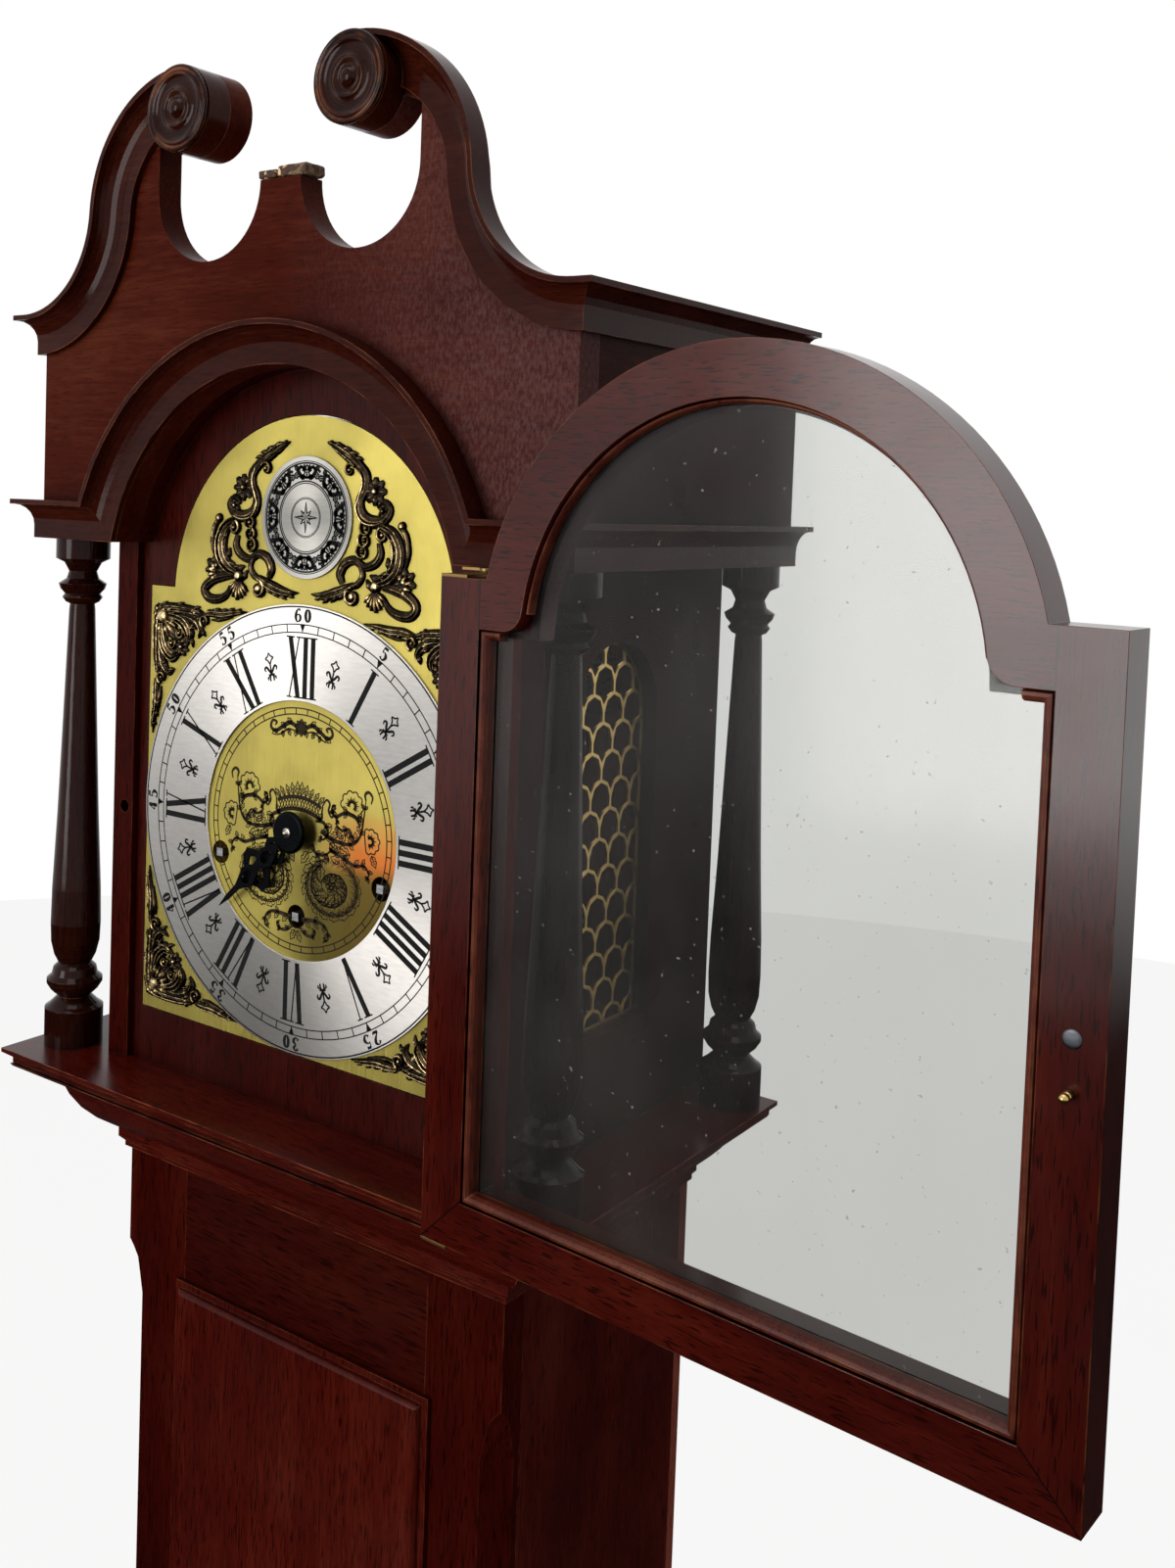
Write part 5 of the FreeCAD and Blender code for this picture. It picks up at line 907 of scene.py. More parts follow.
# %% Ladder track
LADDER_IN, LADDER_OUT, RUNGS = 71.6, 75.4, 48
drawing = Drawing(1.9)
for radius in (LADDER_IN, LADDER_OUT):
    drawing.circle(radius, 0.42)
for rung in range(RUNGS):
    angle = 360 * (rung + 0.5) / RUNGS
    drawing.line([polar(LADDER_IN, angle), polar(LADDER_OUT, angle)], (0.42,), 0)
drawing.piece("centre_ladder_track", PLATE_Y, brown_ink, "brass")
print("ladder track drawn with", RUNGS, "rungs")

# %% Crest under the track
def crest(drawing):
    """A scroll with leaves, hanging from the ladder track."""
    drawing.line([4 + 64j, 10 + 65.6j, 16 + 62.5j, 22 + 59.2j, 26 + 61.5j, 24.5 + 65.5j, 21 + 64.8j,
                  22.4 + 62.8j], (1.4, 1.6, 1.3, 1.1, 0.9, 0.6), 6)
    drawing.line([5 + 61j, 11 + 61.6j, 16 + 58.6j, 21 + 56.6j], (0.5, 0.8, 0.4), 5)
    for base, tip in ((8 + 65j, 12 + 68.5j), (13 + 62j, 17.5 + 65j), (11 + 61.5j, 9 + 57.5j),
                      (16 + 60j, 15 + 56j), (20 + 60j, 25 + 57j), (4 + 62j, 5 + 57.5j)):
        leaf(drawing, base, tip, 0.36, 0.5, 2)


print("crest ready")

# %% Crown
BAND_DROP = 0.012


def band(x, rise):
    """A point of the crown's band, which curves down to its ends."""
    return complex(x, rise - BAND_DROP * x * x)


def crown(drawing):
    """A latticed band with a plume of leaves."""
    for n in range(7):
        low, high = 2.4 * n + 0.2, 2.4 * n + 2.6
        for start, end in ((13.4, 19.9), (19.9, 13.4)):
            drawing.line([band(low, start), band(high, end) + 0.3], (0.40,), 0)
    for rise, width in ((12.4, 0.5), (13.6, 0.9), (20.2, 0.9), (21.4, 0.5)):
        drawing.line([band(x, rise) for x in (0, 5, 10, 15, 18.4)], (width,), 4)
    drawing.line([18.4 + 8.4j, 19.6 + 17.4j], (0.7,), 0)
    for x, lean, reach in ((1.4, 0.6, 8.5), (5.0, 1.8, 7.4), (8.6, 3.0, 6.2), (12.4, 4.2, 5.4),
                           (16.0, 5.0, 4.6)):
        leaf(drawing, band(x, 21.8), band(x, 21.8) + complex(lean, reach), 0.26, 0.5, 2)
    drawing.line([19 + 17j, 22.5 + 22j, 25.4 + 20j, 24.5 + 15.5j, 27.4 + 12j, 28.6 + 16.4j, 26.4 + 17.2j],
                 (0.5, 0.9, 0.8, 0.7, 0.5), 5)


print("crown ready")

# %% Side scrolls
def side_scrolls(drawing):
    """Leafy stems with two blossoms, at the side of the crown."""
    frond(drawing, [18.4 + 2.2j, 27 - 1.2j, 37 - 2.7j, 46 - 1j, 51.2 + 5.5j, 53.2 + 15.7j, 54.4 + 26j],
          1.2, 8, 9.0, 1)
    drawing.line([54.4 + 26j, 53.6 + 29.6j, 56.4 + 31.4j, 59.4 + 28.8j, 58.6 + 24.6j],
                 (0.6, 1.1, 0.9, 0.5), 5)
    frond(drawing, [50.5 + 9.8j, 46.2 + 14.6j, 37.5 + 15.8j, 31 + 12.7j, 27.4 + 14.6j, 27.6 + 19.3j,
                    30.6 + 20j], 1.1, 5, 6.6, -1)
    frond(drawing, [46 + 0j, 41.6 + 6.9j, 35.7 + 5.7j, 31 + 9j, 33.4 + 11j], 0.9, 4, 6.4, 1)
    frond(drawing, [26.5 - 8.4j, 36.5 - 11j, 46.6 - 14.7j, 54.2 - 13.3j, 58 - 18j, 55.4 - 21.6j],
          1.0, 6, 7.4, 1)
    blossom(drawing, 43.4 + 21.4j, 9.2, 20, 7)
    blossom(drawing, 58.4 + 2.2j, 7.8, 82, 7)


print("side scrolls ready")

# %% Leaves of the hub
def hub_leaves(drawing):
    """Leaves beside the hub and between the round scrolls."""
    frond(drawing, [14 + 8j, 20.3 + 7.6j, 24.2 + 3j, 21 - 2.3j, 17 - 1j], 1.0, 4, 7.0, 1)
    frond(drawing, [12 - 6j, 15.6 - 11.7j, 24 - 10.6j, 28.8 - 5.5j], 1.0, 4, 6.6, -1)
    for base, tip in ((26 - 4j, 34 - 8.6j), (34 - 5j, 43 - 8.6j), (60 - 6j, 63.6 - 13j), (8.4 - 12j, 3 - 20j),
                      (31 + 3.4j, 37.4 + 1j)):
        leaf(drawing, base, tip, 0.34, 0.5, 3)
    frond(drawing, [5 - 54j, 12 - 53.4j, 20.6 - 53.6j, 26 - 57j, 27 - 63j, 22.6 - 65.4j], 1.0, 5, 7.0, -1)
    frond(drawing, [3 - 60j, 8 - 63.6j, 14.5 - 63.8j, 16.6 - 60j, 13.4 - 58.4j], 0.8, 3, 4.4, 1)
    leaf(drawing, 1 - 62j, 4.4 - 69j, 0.34, 0.45, 2)


print("hub leaves ready")

# %% Engraved dial centre
drawing = Drawing(1.9)
for place in (straight, mirrored):
    drawing.place = place
    crest(drawing)
    crown(drawing)
    side_scrolls(drawing)
    hub_leaves(drawing)
drawing.place = straight
drawing.dot(63.4j, 2.6)
for n in range(8):
    leaf(drawing, 63.4j + polar(2.4, 45 * n), 63.4j + polar(5.6, 45 * n), 0.46, 0.55, 1)
round_scroll(drawing, -27.6 - 31.6j, 20.4, 17.0, 8, 1, 30)
round_scroll(drawing, 28.6 - 30.6j, 21.4, 17.4, -8, -1, 70)
drawing.piece("centre_engraving", PLATE_Y, brown_ink, "brass")
print("dial centre engraved")

# %% [markdown]
# ## Boss in the arch
# The silvered boss has a plain rim, a border of leaves between double lines, and a small star in the
# middle. One eighth of the border is drawn and turned round, which keeps every repeat the same.

# %% Boss in the arch
BOSS_UP = 1j * (BOSS_Z - DIAL_Z) / MM
BORDER_IN, BORDER_OUT = 22.2, 33.2
drawing = Drawing(1.6)
for radius, width in ((BORDER_OUT + 1.2, 0.35), (BORDER_OUT, 0.7), (BORDER_IN, 0.6), (BORDER_IN - 1.3, 0.4)):
    drawing.circle(radius, width, BOSS_UP, 96)
for n in range(8):
    drawing.place = lambda point, n=n: BOSS_UP + turned(45 * n)(point)
    middle = 1j * (BORDER_IN + BORDER_OUT) / 2
    for side in (1, -1):
        def at(x, y, side=side, middle=middle):
            return middle + complex(side * x, y)
        drawing.line([at(0.6, -3.6), at(4.0, -2.6), at(6.8, 0.4), at(5.4, 3.0), at(3.0, 2.2), at(3.6, 0.4)],
                     (0.9, 1.5, 1.3, 0.9), 4)
        for base, tip, wide in (((6.6, -0.6), (10.4, -4.0), 0.42), ((6.8, 1.4), (10.6, 3.0), 0.40),
                                ((2.2, -1.8), (4.2, -4.8), 0.45), ((1.6, 0.6), (2.4, 4.6), 0.36)):
            leaf(drawing, at(*base), at(*tip), wide, 0.8, 3)
        drawing.area([at(3.4, 3.4), at(5.6, 4.4), at(6.6, 2.4), at(5.0, 2.2)])
        drawing.area([at(2.6, -3.9), at(5.2, -4.4), at(7.4, -2.4), at(4.4, -1.6)])
    leaf(drawing, middle - 4.0j, middle + 4.6j, 0.34, 0.9, 3)
    drawing.dot(middle + 10.6 * polar(1, 90) + 0.6j, 1.1, 8)
drawing.place = straight
for n in range(8):
    long = 9.5 if n % 2 == 0 else 6.0
    tip = BOSS_UP + polar(long, 45 * n)
    for side in (-22.5, 22.5):
        waist = BOSS_UP + polar(2.8, 45 * n + side)
        drawing.line([waist, tip], (0.45, 0.3), 0)
        if side > 0:
            drawing.area([BOSS_UP, waist, tip])
for radius in (11.4, 12.2):
    drawing.circle(radius, 0.3, BOSS_UP, 72)
drawing.piece("boss_engraving", DIAL_Y, dial_ink, "silvered")
print("boss engraved")

# %% [markdown]
# ## Relief kit
# Cast ornament could be sculpted. Here it is built from crowned strokes: a line with a round back, fluted
# where a leaf is, that stands up from the plate and catches the light like real relief.

# %% Relief kit
def spiral(centre, radius, start, turns, tightness=0.8, steps=14):
    """Points of a curl that winds in towards its centre."""
    count = max(4, int(abs(turns) * steps))
    return [centre + radius * (1 - tightness * n / count) * polar(1, start + 360 * turns * n / count)
            for n in range(count + 1)]


def skin(shape, rows, closed=True):
    """Faces between rows of vertices; closed rows run round."""
    for low, high in zip(rows, rows[1:]):
        for k in range(0 if closed else 1, len(low)):
            shape.faces.new([low[k - 1], low[k], high[k], high[k - 1]])


class Relief(Drawing):
    """A drawing of strokes that stand up from the plate."""

    def crowned(self, points, widths, height, steps=5, flutes=0.0, sections=8, foot=0.0):
        """A rounded stroke that stands up from the plate, with optional flutes along it."""
        run = smooth([complex(p) for p in points], steps)
        widths = [self.weight * w for w in spread(list(widths), len(run))]
        widest = max(widths)
        rows = []
        for n, (point, width) in enumerate(zip(run, widths)):
            side = 0.5j * width * unit(run[min(n + 1, len(run) - 1)] - run[max(n - 1, 0)])
            row = []
            for k in range(sections + 1):
                t = 2 * k / sections - 1
                groove = 1 - flutes * (0.5 - 0.5 * math.cos(2 * math.pi * t * 1.5))
                rise = height * (0.35 + 0.65 * width / widest) * math.sqrt(max(0.0, 1 - t * t)) * groove
                row.append(self.vertex(point + side * t, foot + rise))
            rows.append(row)
        skin(self.shape, rows, closed=False)

    def bead(self, centre, radius, height, rings=4, count=12):
        """A low dome."""
        rows = []
        for n in range(rings):
            angle = math.pi / 2 * n / rings
            rows.append([self.vertex(point, height * math.sin(angle))
                         for point in ring_points(centre, radius * math.cos(angle), count)])
        skin(self.shape, rows)
        self.shape.faces.new(rows[-1])


print("relief kit ready")

# %% [markdown]
# ## Founder's motifs
# The castings were pressed or poured from a few forms: flowers, curls, fluted leaves and shells. Each form
# is a function here, so a whole casting is a list of places and sizes.

# %% Founder's motifs
def flower(drawing, centre, radius, petals=6, start=0.0):
    """Fluted petals round a bead."""
    for n in range(petals):
        angle = start + 360 * n / petals
        drawing.crowned([centre + polar(radius * share, angle) for share in (0.15, 0.6, 1)],
                        [radius * share for share in (0.25, 0.75, 0.35)], 2.6, 3, 0.6, 8)
    drawing.bead(centre, radius * 0.3, 3.1)


def curl(drawing, centre, radius, start, turns, width):
    """A curl that ends in a bead."""
    drawing.crowned(spiral(centre, radius, start, turns, 0.7), (width, width * 0.9, width * 0.5), 2.7, 1)
    drawing.bead(centre, radius * 0.36, 3.0)


def feather(drawing, points, widths, barbs=4, side=1, ribs=2):
    """A fluted leaf with a raised midrib, side ribs and short lobes along one side."""
    drawing.crowned(points, widths, 2.5, 5, 0.45, 10)
    run = smooth([complex(p) for p in points], 8)
    spread_widths = spread(list(widths), len(run))
    for n in range(1, ribs + 1):
        share = (2 * n / (ribs + 1) - 1) * 0.55
        rib = []
        for k in range(2, len(run) - 2, 3):
            rib.append(run[k] + 1j * unit(run[k + 1] - run[k]) * spread_widths[k] * share)
        drawing.crowned(rib, (0.5, 0.9, 0.5), 1.1, 2, 0.0, 4, foot=1.9)
    for n in range(barbs):
        index = int((n + 0.6) / (barbs + 0.4) * (len(run) - 2))
        reach = spread_widths[index] * 0.72 * unit(run[index + 1] - run[index])
        drawing.crowned([run[index], run[index] + reach * complex(0.55, 0.55 * side),
                         run[index] + reach * complex(1.15, 0.75 * side)], (1.6, 3.2, 0.8), 2.7, 3, 0.4, 6)


def shell(drawing, centre, facing, radius, span, count, inner=0.2):
    """A fan of lobes round a centre, each with its own ridge."""
    for n in range(count):
        angle = facing - span / 2 + span * n / (count - 1)
        middle = 1 - abs(2 * n / (count - 1) - 1)
        reach = radius * (0.78 + 0.22 * middle)
        wide = 2.2 * reach * math.sin(math.radians(span / count / 2)) + 0.6
        drawing.crowned([centre + polar(inner * radius, angle), centre + polar(reach * 0.65, angle),
                         centre + polar(reach, angle)], (wide * 0.4, wide, wide * 0.6), 2.9, 3, 0.0, 6)


print("founder's motifs ready")

# %% [markdown]
# ## Corner castings
# Each corner of the dial has a casting that is the same on both sides of the diagonal. So half a corner is
# drawn along one edge, and a small function turns it to either edge of any corner. They stand for the plain
# solids of the CAD model and keep inside their outlines.

# %% Corner castings
# The outer corner of each casting, in millimetres to the side and up from the dial's centre.
CORNER = (137.0, 132.6)


def corner_half(drawing, at, heading):
    """Half of a corner casting; at() turns (along the edge, in from the edge) into a place on the dial."""
    feather(drawing, [at(2, 7), at(12, 4.4), at(26, 3.8), at(40, 4.6), at(50, 6.6)], (7, 8.4, 8, 7, 3), 3, 1)
    feather(drawing, [at(49, 5.6), at(57, 4.4), at(67, 4.4), at(77, 2.8), at(88, 1.6)],
            (3, 6, 6.6, 4.6, 1), 5, 1)
    feather(drawing, [at(12, 9), at(21, 9.6), at(30, 12.6), at(35.4, 19.6), at(33, 26.6)],
            (4, 7, 10.5, 9.5, 2), 4, 1, 3)
    feather(drawing, [at(22, 8), at(33, 8.2), at(42, 11), at(46, 16.6), at(43.6, 21.6)],
            (3, 5.6, 7.4, 6, 1.4), 3, 1, 1)
    drawing.crowned([at(7, 12), at(15, 14.5), at(21, 19), at(24, 24.6)], (4, 7, 7, 2.4), 2.6, 5, 0.5, 10)
    curl(drawing, at(50, 10), 4.2, 200, 1.2, 2.8)
    curl(drawing, at(26.6, 19.4), 4.0, 60, 1.1, 2.6)
    drawing.crowned([at(56, 8.8), at(62, 8.4), at(69, 7), at(75, 6)], (1.4, 3, 2.8, 0.8), 2.4, 4, 0.3)
    flower(drawing, at(41, 5.2), 4.4, 6)
    for along, inward, turn in ((17, 10, 30), (37, 12, 50)):
        shell(drawing, at(along, inward), heading + turn, 5.4, 100, 5)


drawing = Relief()
for right in (1, -1):
    for top in (1, -1):
        corner = complex(CORNER[0] * right, CORNER[1] * top)
        diagonal = complex(right, top)
        for swap in (False, True):
            def at(along, inward, swap=swap, right=right, top=top, corner=corner):
                across, down = (inward, along) if swap else (along, inward)
                return corner - complex(across * right, down * top)
            step = at(10, 6) - at(0, 0)
            corner_half(drawing, at, math.degrees(math.atan2(step.real, step.imag)))
        inwards = math.degrees(math.atan2(-right, -top))
        flower(drawing, corner - 28.4 * diagonal, 6.4, 8, 20)
        drawing.bead(corner - 9.4 * diagonal, 6.4, 3.1, 5, 16)
        shell(drawing, corner - 9 * diagonal, inwards, 16.0, 150, 9, 0.4)
        shell(drawing, corner - 9 * diagonal, inwards + 180, 8.6, 150, 5, 0.5)


print("corner castings made")

# %% [markdown]
# ## Castings beside the boss
# A leafy scroll climbs on each side of the boss. Its stems follow points measured on one side, and
# the other side is the mirror image, as in the real pair. All castings are one piece.

# %% Castings beside the boss
for place in (straight, mirrored):
    drawing.place = place
    feather(drawing, [-15.7 + 238.3j, -24 + 235j, -33.3 + 230.1j, -42.6 + 224.1j], (1.4, 7, 9, 7), 5, -1)
    drawing.crowned([-35 + 227.5j, -42 + 224.1j, -47.4 + 218j, -46.9 + 210.6j, -43 + 203.4j, -44.5 + 196j,
                     -51.3 + 191.7j, -61.5 + 192.4j, -67 + 198.6j, -62.4 + 203.4j, -57.3 + 199.7j],
                    (5, 7.2, 8.2, 7.4, 7.6, 8.8, 8.8, 7.6, 6, 4.4, 2.6), 2.6, 5, 0.35, 10)
    drawing.crowned([-43.6 + 221.5j, -46.2 + 214j, -43.4 + 205.4j, -41.4 + 199j, -46 + 191.5j, -55 + 189.6j,
                     -63.6 + 192j], (0.8, 1.3, 1.3, 1.3, 1.4, 1.3, 0.8), 1.2, 4, 0.0, 4, foot=1.9)
    curl(drawing, -35 + 221.6j, 4.4, 300, 1.0, 3.0)
    flower(drawing, -55 + 209.4j, 8.6, 8)
    flower(drawing, -62 + 198j, 4.4, 6)
    for centre in (-48.6 + 187.6j, -47.6 + 180.4j, -46.4 + 173.6j):
        drawing.crowned(spiral(centre, 4.4, 30, 0.9, 0.25, 12), (2.2, 2.4, 1.4), 2.7, 1)
        drawing.bead(centre, 2.0, 2.5)
    feather(drawing, [-58.6 + 189.6j, -68.9 + 184.8j, -74.2 + 175.6j, -73 + 165.4j, -66.5 + 158.4j,
                      -56 + 154.6j], (5, 9, 12, 12, 10, 5), 6, 1, 3)
    drawing.crowned([-75.6 + 189.4j, -80 + 184j, -82 + 174j, -80 + 164.6j], (4, 4.4, 4, 1.6), 2.7, 4, 0.3)
    drawing.bead(-76.4 + 189.6j, 3.2, 3.0)
    curl(drawing, -62 + 184j, 4.6, 20, 1.0, 3.2)
    drawing.crowned([-59.2 + 179.4j, -60.4 + 172.6j, -56.4 + 167.2j, -48.3 + 164.6j, -40 + 168.2j,
                     -32.4 + 165.6j, -28.8 + 159.4j, -30.8 + 154j],
                    (4.4, 6.4, 6.6, 5.6, 6, 7.2, 7.2, 5), 2.7, 5, 0.35, 10)
    drawing.crowned([-44.6 + 165.6j, -47 + 159.6j, -43 + 154j, -36 + 152j], (3.4, 4.6, 5, 4.2), 2.7, 5, 0.3)
    feather(drawing, [-39.6 + 153.6j, -33 + 150.2j, -25 + 147.4j, -15.6 + 145.4j, -5.4 + 145.9j],
            (4, 7.6, 8.2, 6.4, 1), 5, -1)
    drawing.crowned(spiral(-39.4 + 146.4j, 5.8, 0, 1.1, 0.6), (3.6, 3.4, 2.0), 2.8, 1)
    drawing.bead(-39.4 + 146.4j, 3.4, 3.1, 5, 16)
    flower(drawing, -79.6 + 157.4j, 8.4, 7)
    shell(drawing, -76 + 154.4j, 290, 9.6, 120, 5)
    drawing.crowned([-63 + 153.6j, -72 + 152.4j, -81.7 + 149.4j, -88.6 + 143.6j, -85 + 138.2j, -76.6 + 137.6j,
                     -68.6 + 140.6j, -63 + 148j], (5, 7, 7.6, 7.4, 7, 6.6, 5.6, 3.4), 2.7, 5, 0.4, 10)
    shell(drawing, -57 + 151.6j, 186, 13.6, 100, 7, 0.15)
    drawing.bead(-57.4 + 153.4j, 4.2, 3.1, 5, 16)
    for base, tip in ((-66 + 171j, -67.6 + 163j), (-52.6 + 160j, -60 + 157j), (-50 + 157.4j, -54.6 + 150.4j)):
        drawing.crowned([base, (base + tip) / 2, tip], (1.6, 5.2, 1.4), 2.6, 4, 0.5, 8)
print("castings beside the boss made")

# %% [markdown]
# ## Finish of the castings
# The castings are nearly black in their recesses and rubbed to gold on their ridges. Height over the plate
# tells the two apart, with a blotchy noise so that the rubbing looks like handwork.

# %% Finish of the castings
CAST_HEIGHT = 3.0
antique = Worn("antique_casting", rough=0.3, metal=1.0)
below = antique.math("SUBTRACT", PLATE_Y, antique.axis("Y", antique.place))
height = antique.times(below, 1 / (CAST_HEIGHT * MM))
blotch = antique.noise(antique.mapped(), 260.0, 3.0, 0.6)
rubbed = antique.plus(height, antique.times(antique.math("SUBTRACT", blotch, 0.5), 0.7))
antique.color(antique.ramp(rubbed, [(0.40, (0.007, 0.005, 0.004)), (0.74, (0.034, 0.023, 0.013)),
                                    (0.90, (0.24, 0.165, 0.07)), (1.0, (0.86, 0.68, 0.36))]))
antique.rough(antique.grey(blotch, 0.3, 0.7, 0.17, 0.36))
antique.bump(blotch, 0.45, 0.0006)
castings = drawing.piece("cast_spandrels", PLATE_Y, antique.material, "cast_brass", 0.0, smoothed=True)
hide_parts("spandrels")
print("castings made", len(castings.data.polygons), "faces")

# %% [markdown]
# ## Swept and turned pieces
# Mouldings and turnings are the joiner's two ways to make a shape, and the script's too: a profile swept
# along a path with mitred corners, and a profile turned about a line. Blender's bevelled curves could do
# both, but a mesh keeps true mitres. Pieces of the hood door are built on the shut door and swung open with
# it.

# %% Swept and turned pieces
def finished_mesh(name, shape, material, body, swing=None, smoothed=True):
    """Make the piece from a bmesh in metres, with its normals outwards."""
    bmesh.ops.recalc_face_normals(shape, faces=shape.faces)
    if swing:
        bmesh.ops.transform(shape, matrix=swing, verts=shape.verts)
    return make_piece(name, shape, material, body, smoothed)


def moulding(name, path, profile, floor, material):
    """Sweep a closed profile of (inset, rise) along a path in the hood door's plane.

    The corners are mitred and the ends capped.
    """
    shape = bmesh.new()
    rows = []
    for n, point in enumerate(path):
        before = point - path[n - 1] if n else path[1] - point
        after = path[n + 1] - point if n + 1 < len(path) else point - path[n - 1]
        sides = [1j * step / abs(step) for step in (before, after)]
        mitre = (sides[0] + sides[1]) / (1 + (sides[0] * sides[1].conjugate()).real)
        row = []
        for inset, rise in profile:
            spot = point + inset * mitre
            row.append(shape.verts.new((spot.real * MM, floor + rise * MM, spot.imag * MM)))
        rows.append(row)
    skin(shape, rows)
    for row in (rows[0], rows[-1]):
        shape.faces.new(row)
    finished_mesh(name, shape, material, "hood_door", DOOR_SWING, smoothed=False)


def turning(name, centre, profile, count, material, body, swing=None):
    """Turn a profile of (radius, rise towards the viewer) about a line through the centre."""
    shape = bmesh.new()
    rows = []
    for radius, rise in profile:
        row = []
        for k in range(count):
            angle = math.tau * k / count
            row.append(shape.verts.new((centre[0] + radius * MM * math.cos(angle), centre[1] - rise * MM,
                                        centre[2] + radius * MM * math.sin(angle))))
        rows.append(row)
    skin(shape, rows)
    for row in (rows[0], rows[-1]):
        shape.faces.new(row)
    finished_mesh(name, shape, material, body, swing)


print("sweeping and turning ready")

# %% [markdown]
# ## Glazing bead
# A worn bead holds the pane in its rebate: straight lengths round the foot and sides, and a bent one in the
# arch.

# %% Glazing bead
GLASS_REAR = -0.1123
SIGHT_HALF, SIGHT_FOOT, SIGHT_TOP, SIGHT_RADIUS = 144.0, 1472.2, 1762.8, 118.0
RETURN_LENGTH, ARCH_START = 13.0, 82.5

bead_wood = mahogany("wood_bead", "Z", BROWN_WOOD, tone=1.35, wear=2.2, gloss=0.30, shift=(6, 6, 2),
                     wear_width=0.0022, sheen=0.2)
half_round = [(0.5, 0.4), (0.5, 6.2), (1.3, 7.3), (2.7, 7.5), (4.1, 6.7), (5.2, 4.6), (5.5, 0.4)]
right_half = [complex(SIGHT_HALF - RETURN_LENGTH, SIGHT_TOP), complex(SIGHT_HALF, SIGHT_TOP),
              complex(SIGHT_HALF, SIGHT_FOOT)]
moulding("glazing_bead_frame", right_half + [mirrored(point) for point in reversed(right_half)],
         [(-inset, rise) for inset, rise in half_round], GLASS_REAR, bead_wood)
moulding("glazing_bead_arch",
         [1j * ARCH_Z / MM + polar(SIGHT_RADIUS, angle) for angle in spread([-ARCH_START, ARCH_START], 49)],
         [(-0.45 * inset, 0.7 * rise) for inset, rise in half_round], GLASS_REAR, bead_wood)
print("glazing bead made")

# %% [markdown]
# ## Bolt end and catch stud
# The free stile carries the domed steel end of the ring pull's bolt and, below it, a turned brass catch
# stud. The shut door's inner face looks to the back, so what stands up from it has a negative rise here.

# %% Bolt end and catch stud
DOOR_FACE, STUD_X = -0.1043, -0.157
BOLT_UP, STUD_DOWN = 0.014, 0.007

grey_steel = plain_metal("grey_steel", (0.095, 0.10, 0.11), 0.42)
bright_brass = brass("bright_brass", (0.62, 0.44, 0.16), 0.25, recess_darkening=0.3)
turning("pull_bolt_end", (STUD_X, DOOR_FACE, DIAL_Z + BOLT_UP),
        [(3.9, -0.02), (3.8, -0.25), (3.2, -0.42), (2.2, -0.54), (1.0, -0.62), (0.2, -0.64)], 24,
        grey_steel, "hood_door", DOOR_SWING)
beads = []
for middle in (2.3, 5.6):
    for n in range(1, 10):
        angle = math.pi * n / 10
        beads.append((2.02 * math.sin(angle) + 0.02, 1.9 * math.cos(angle) - middle))
turning("catch_stud_beads", (STUD_X, DOOR_FACE, DIAL_Z - STUD_DOWN),
        [(1.65, -0.05), *beads, (0.2, -7.5)], 24, bright_brass, "hood_door", DOOR_SWING)
print("bolt end and catch stud made")

# %% [markdown]
# ## Scroll dishes
# Each swan neck ends in a turned dish: a rim, a polished hollow that catches the light, and a small knob.
# It is turned from a profile, as on the lathe, and stands less than five millimetres proud.

# %% Scroll dishes
SCROLL_X, SCROLL_Z, SCROLL_FACE = 0.0695, 2.0560, -0.1470

wood_dish = mahogany("wood_dish", "X", BROWN_WOOD, tone=0.30, wear=1.2, gloss=0.12, shift=(9, 2, 2),
                     sheen=0.10)
dish_turning = [(25.9, 0.2), (25.9, 1.6), (25.2, 2.3), (24.0, 2.5), (23.0, 1.5), (22.2, 2.2), (20.8, 2.7),
                (19.6, 1.7), (17.6, 1.0), (15.0, 0.9), (12.8, 1.3), (11.6, 2.2), (10.6, 2.7), (9.6, 2.4),
                (8.6, 1.6), (7.2, 1.2), (6.2, 1.5), (5.4, 2.4), (4.8, 3.4), (3.8, 4.2), (2.2, 4.8),
                (0.3, 4.9)]
for name, x in (("scroll_dish_left", -SCROLL_X), ("scroll_dish_right", SCROLL_X)):
    turning(name, (x, SCROLL_FACE, SCROLL_Z), dish_turning, 64, wood_dish, "hood")
print("scroll dishes made")

# %% [markdown]
# ## Broken cap
# The cap of the middle plinth has lost its finial: two rough lumps of bare wood are left, with flakes of
# gilding. They are boxes with rounded edges, cut fine, and pushed in by a noise so that no face stays flat.

# %% Broken cap
CAP_LOW, CAP_HIGH, CAP_DROP = 2.0115, 2.0200, 0.0018
CAP_Y, CAP_DEPTH, CAP_ROUND, CAP_ROUGH = -0.120, 0.018, 0.0022, 0.0016

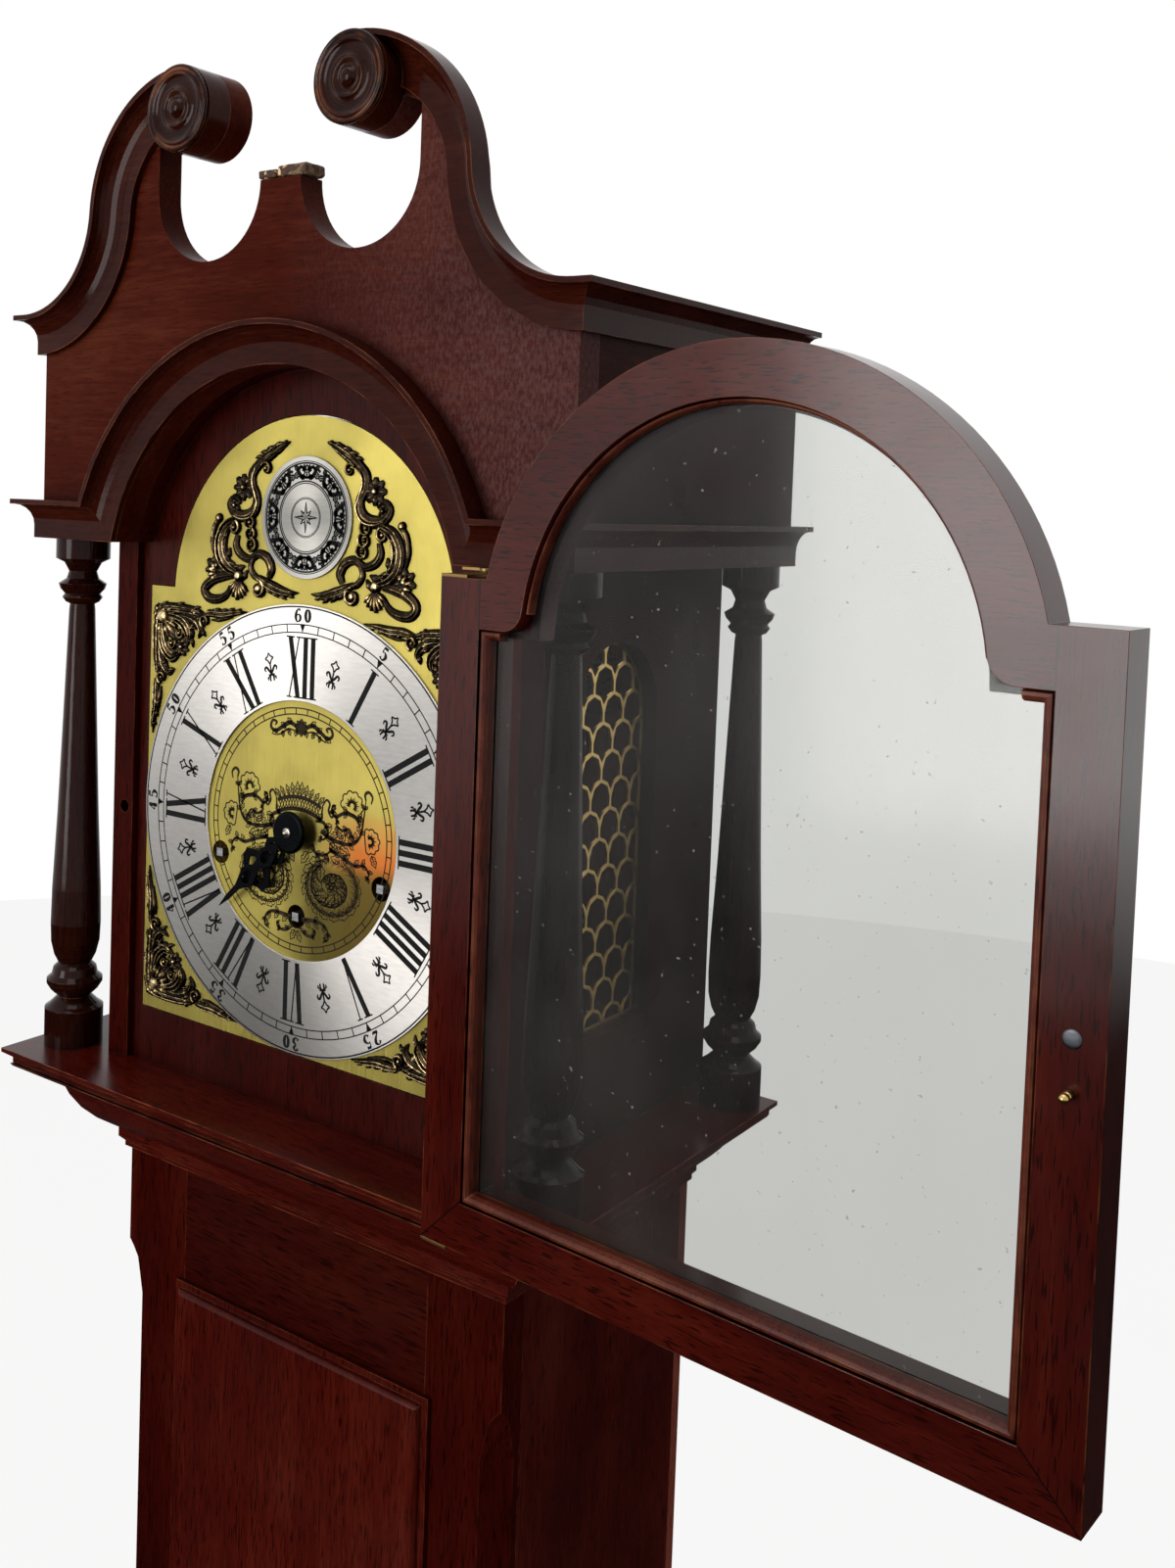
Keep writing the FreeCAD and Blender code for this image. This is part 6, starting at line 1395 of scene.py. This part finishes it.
stub = Worn("broken_wood", rough=0.7)
fibre = stub.noise(stub.mapped((1, 6, 6)), 260.0, 4.0, 0.6)
bare_wood = stub.ramp(fibre, [(0.36, (0.012, 0.004, 0.002)), (0.50, (0.050, 0.017, 0.006)),
                              (0.66, (0.13, 0.048, 0.017))])
flakes = stub.grey(stub.noise(stub.mapped(turn=(0, 40, 0)), 190.0, 2.0, 0.5), 0.55, 0.58)
gilt = stub.times(flakes, stub.grey(stub.axis("X", stub.place), -0.004, 0.006, 1.0, 0.15))
stub.color(stub.mix(gilt, bare_wood, (0.86, 0.62, 0.30)))
stub.bump(fibre, 0.6, 0.0008)
shape = bmesh.new()
for middle, half, top in ((-0.0125, 0.0080, CAP_HIGH - CAP_DROP), (0.0080, 0.0125, CAP_HIGH)):
    for vert in bmesh.ops.create_cube(shape, size=1.0)["verts"]:
        vert.co = Vector((middle + 2 * half * vert.co.x, CAP_Y + CAP_DEPTH * vert.co.y,
                          (CAP_LOW + top) / 2 + (top - CAP_LOW) * vert.co.z))
bmesh.ops.bevel(shape, geom=shape.edges[:], offset=CAP_ROUND, segments=3, profile=0.5, affect="EDGES")
bmesh.ops.subdivide_edges(shape, edges=shape.edges[:], cuts=2, use_grid_fill=True)
shape.normal_update()
for vert in shape.verts:
    vert.co -= vert.normal * CAP_ROUGH * (0.5 + 0.5 * noise.noise(vert.co * 330.0))
cap = finished_mesh("broken_cap", shape, stub.material, "hood", smoothed=False)
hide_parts("plinth_cap")
print("broken cap made")

# %% [markdown]
# ## Arbor end
# The centre arbor ends in a bright collar and a short pin in front of the dark collet of the minute hand.
# It turns with the hand and stays half a millimetre clear of the glass when the hood door is shut.

# %% Arbor end
COLLET_FACE = DIAL_Y - 0.0088
arbor_steel = plain_metal("arbor_steel", (0.46, 0.42, 0.37), 0.30)
arbor_turning = [(3.1, 0.2), (3.1, 0.6), (2.5, 0.9), (1.9, 0.9), (1.9, 1.7), (1.2, 1.9), (1.2, 2.6),
                 (0.8, 2.9), (0.2, 3.0)]
turning("arbor_end", (0, COLLET_FACE, DIAL_Z), arbor_turning, 32, arbor_steel, "minute")
print("arbor end made")

# %% [markdown]
# ## Lamps
# A large soft window stands in front to the left, as the gloss on the door and the hood's front shows, with
# a weaker lamp overhead. Area lights do this best: their size makes the soft edge of the gloss.

# %% Lamps
def area_light(name, place, target, size, power, color):
    data = bpy.data.lights.new(name, "AREA")
    data.shape = "RECTANGLE"
    data.size, data.size_y = size
    data.energy = power
    data.color = color
    lamp = bpy.data.objects.new(name, data)
    scene.collection.objects.link(lamp)
    lamp.location = place
    lamp.rotation_euler = (Vector(target) - Vector(place)).to_track_quat("-Z", "Y").to_euler()


area_light("window", place=(-0.85, -3.1, 1.95), target=(-0.05, -0.1, 1.70), size=(1.2, 1.8), power=54,
           color=(1.0, 0.98, 0.97))
area_light("overhead", place=(0.3, -0.4, 4.2), target=(0, 0, 1.6), size=(2.0, 2.0), power=30,
           color=(1.0, 0.97, 0.93))
print("lamps ready")

# %% [markdown]
# ## Room
# The room is plain and pale. The camera sees it white, through the glass too, while it lights the clock
# softly with less, so the wood keeps its depth. What polish and metal mirror is white as well, but turns
# dark towards the floor, as a real room does.

# %% Room
SOFT_LIGHT = 0.30
SKY_SLOPE, SKY_LEVEL, SKY_DARK = 7.0, 2.1, 0.02

world = bpy.data.worlds.new("room")
scene.world = world
world.use_nodes = True
room = Nodes(world.node_tree)
rays = room.node("LightPath").outputs
white = room.node("Background", Color=(1, 1, 1, 1), Strength=1.0).outputs[0]
soft = room.node("Background", Color=(1.0, 0.97, 0.94, 1), Strength=SOFT_LIGHT).outputs[0]

way = room.axis("Z", room.node("TexCoord").outputs["Generated"])
sky = room.plus(room.times(way, SKY_SLOPE), SKY_LEVEL)
sky = room.math("MINIMUM", room.math("MAXIMUM", sky, SKY_DARK), 1.0)
mirrored_room = room.node("Background", Color=(1, 1, 1, 1))
room.feed(mirrored_room.inputs["Strength"], sky)
seen = room.blend(rays["Is Glossy Ray"], white, mirrored_room.outputs[0])
direct = room.math("MAXIMUM", rays["Is Camera Ray"], rays["Is Transmission Ray"])
direct = room.math("MAXIMUM", direct, rays["Is Glossy Ray"])
room.feed(room.node("OutputWorld").inputs[0], room.blend(direct, soft, seen))
print("room ready")

# %% [markdown]
# ## Floor
# The floor is a pale disc. It mostly glows as white as the room for the camera and through the glass, and
# keeps a share of plain paint for the clock's shadow. Polished wood doesn't mirror it.

# %% Floor
FLOOR_RADIUS, FLOOR_GLOW = 6.0, 0.88
floor_mesh = bpy.data.meshes.new("floor")
shape = bmesh.new()
bmesh.ops.create_circle(shape, cap_ends=True, radius=FLOOR_RADIUS, segments=96)
shape.to_mesh(floor_mesh)
shape.free()
floor = bpy.data.objects.new("floor", floor_mesh)
scene.collection.objects.link(floor)
paint = Finish("floor_paint", rough=0.7)
paint.color(paint.grey(paint.noise(paint.mapped(), 3.0, 3.0), 0.3, 0.7, 0.86, 0.90))
glow = paint.node("Emission").outputs[0]
rays = paint.node("LightPath").outputs
shown = paint.math("MAXIMUM", rays["Is Camera Ray"], rays["Is Transmission Ray"])
paint.surface(paint.blend(paint.times(shown, FLOOR_GLOW), paint.shader.outputs[0], glow))
floor_mesh.materials.append(paint.material)
floor.visible_glossy = False
scene.view_settings.view_transform = "Standard"
print("floor ready")
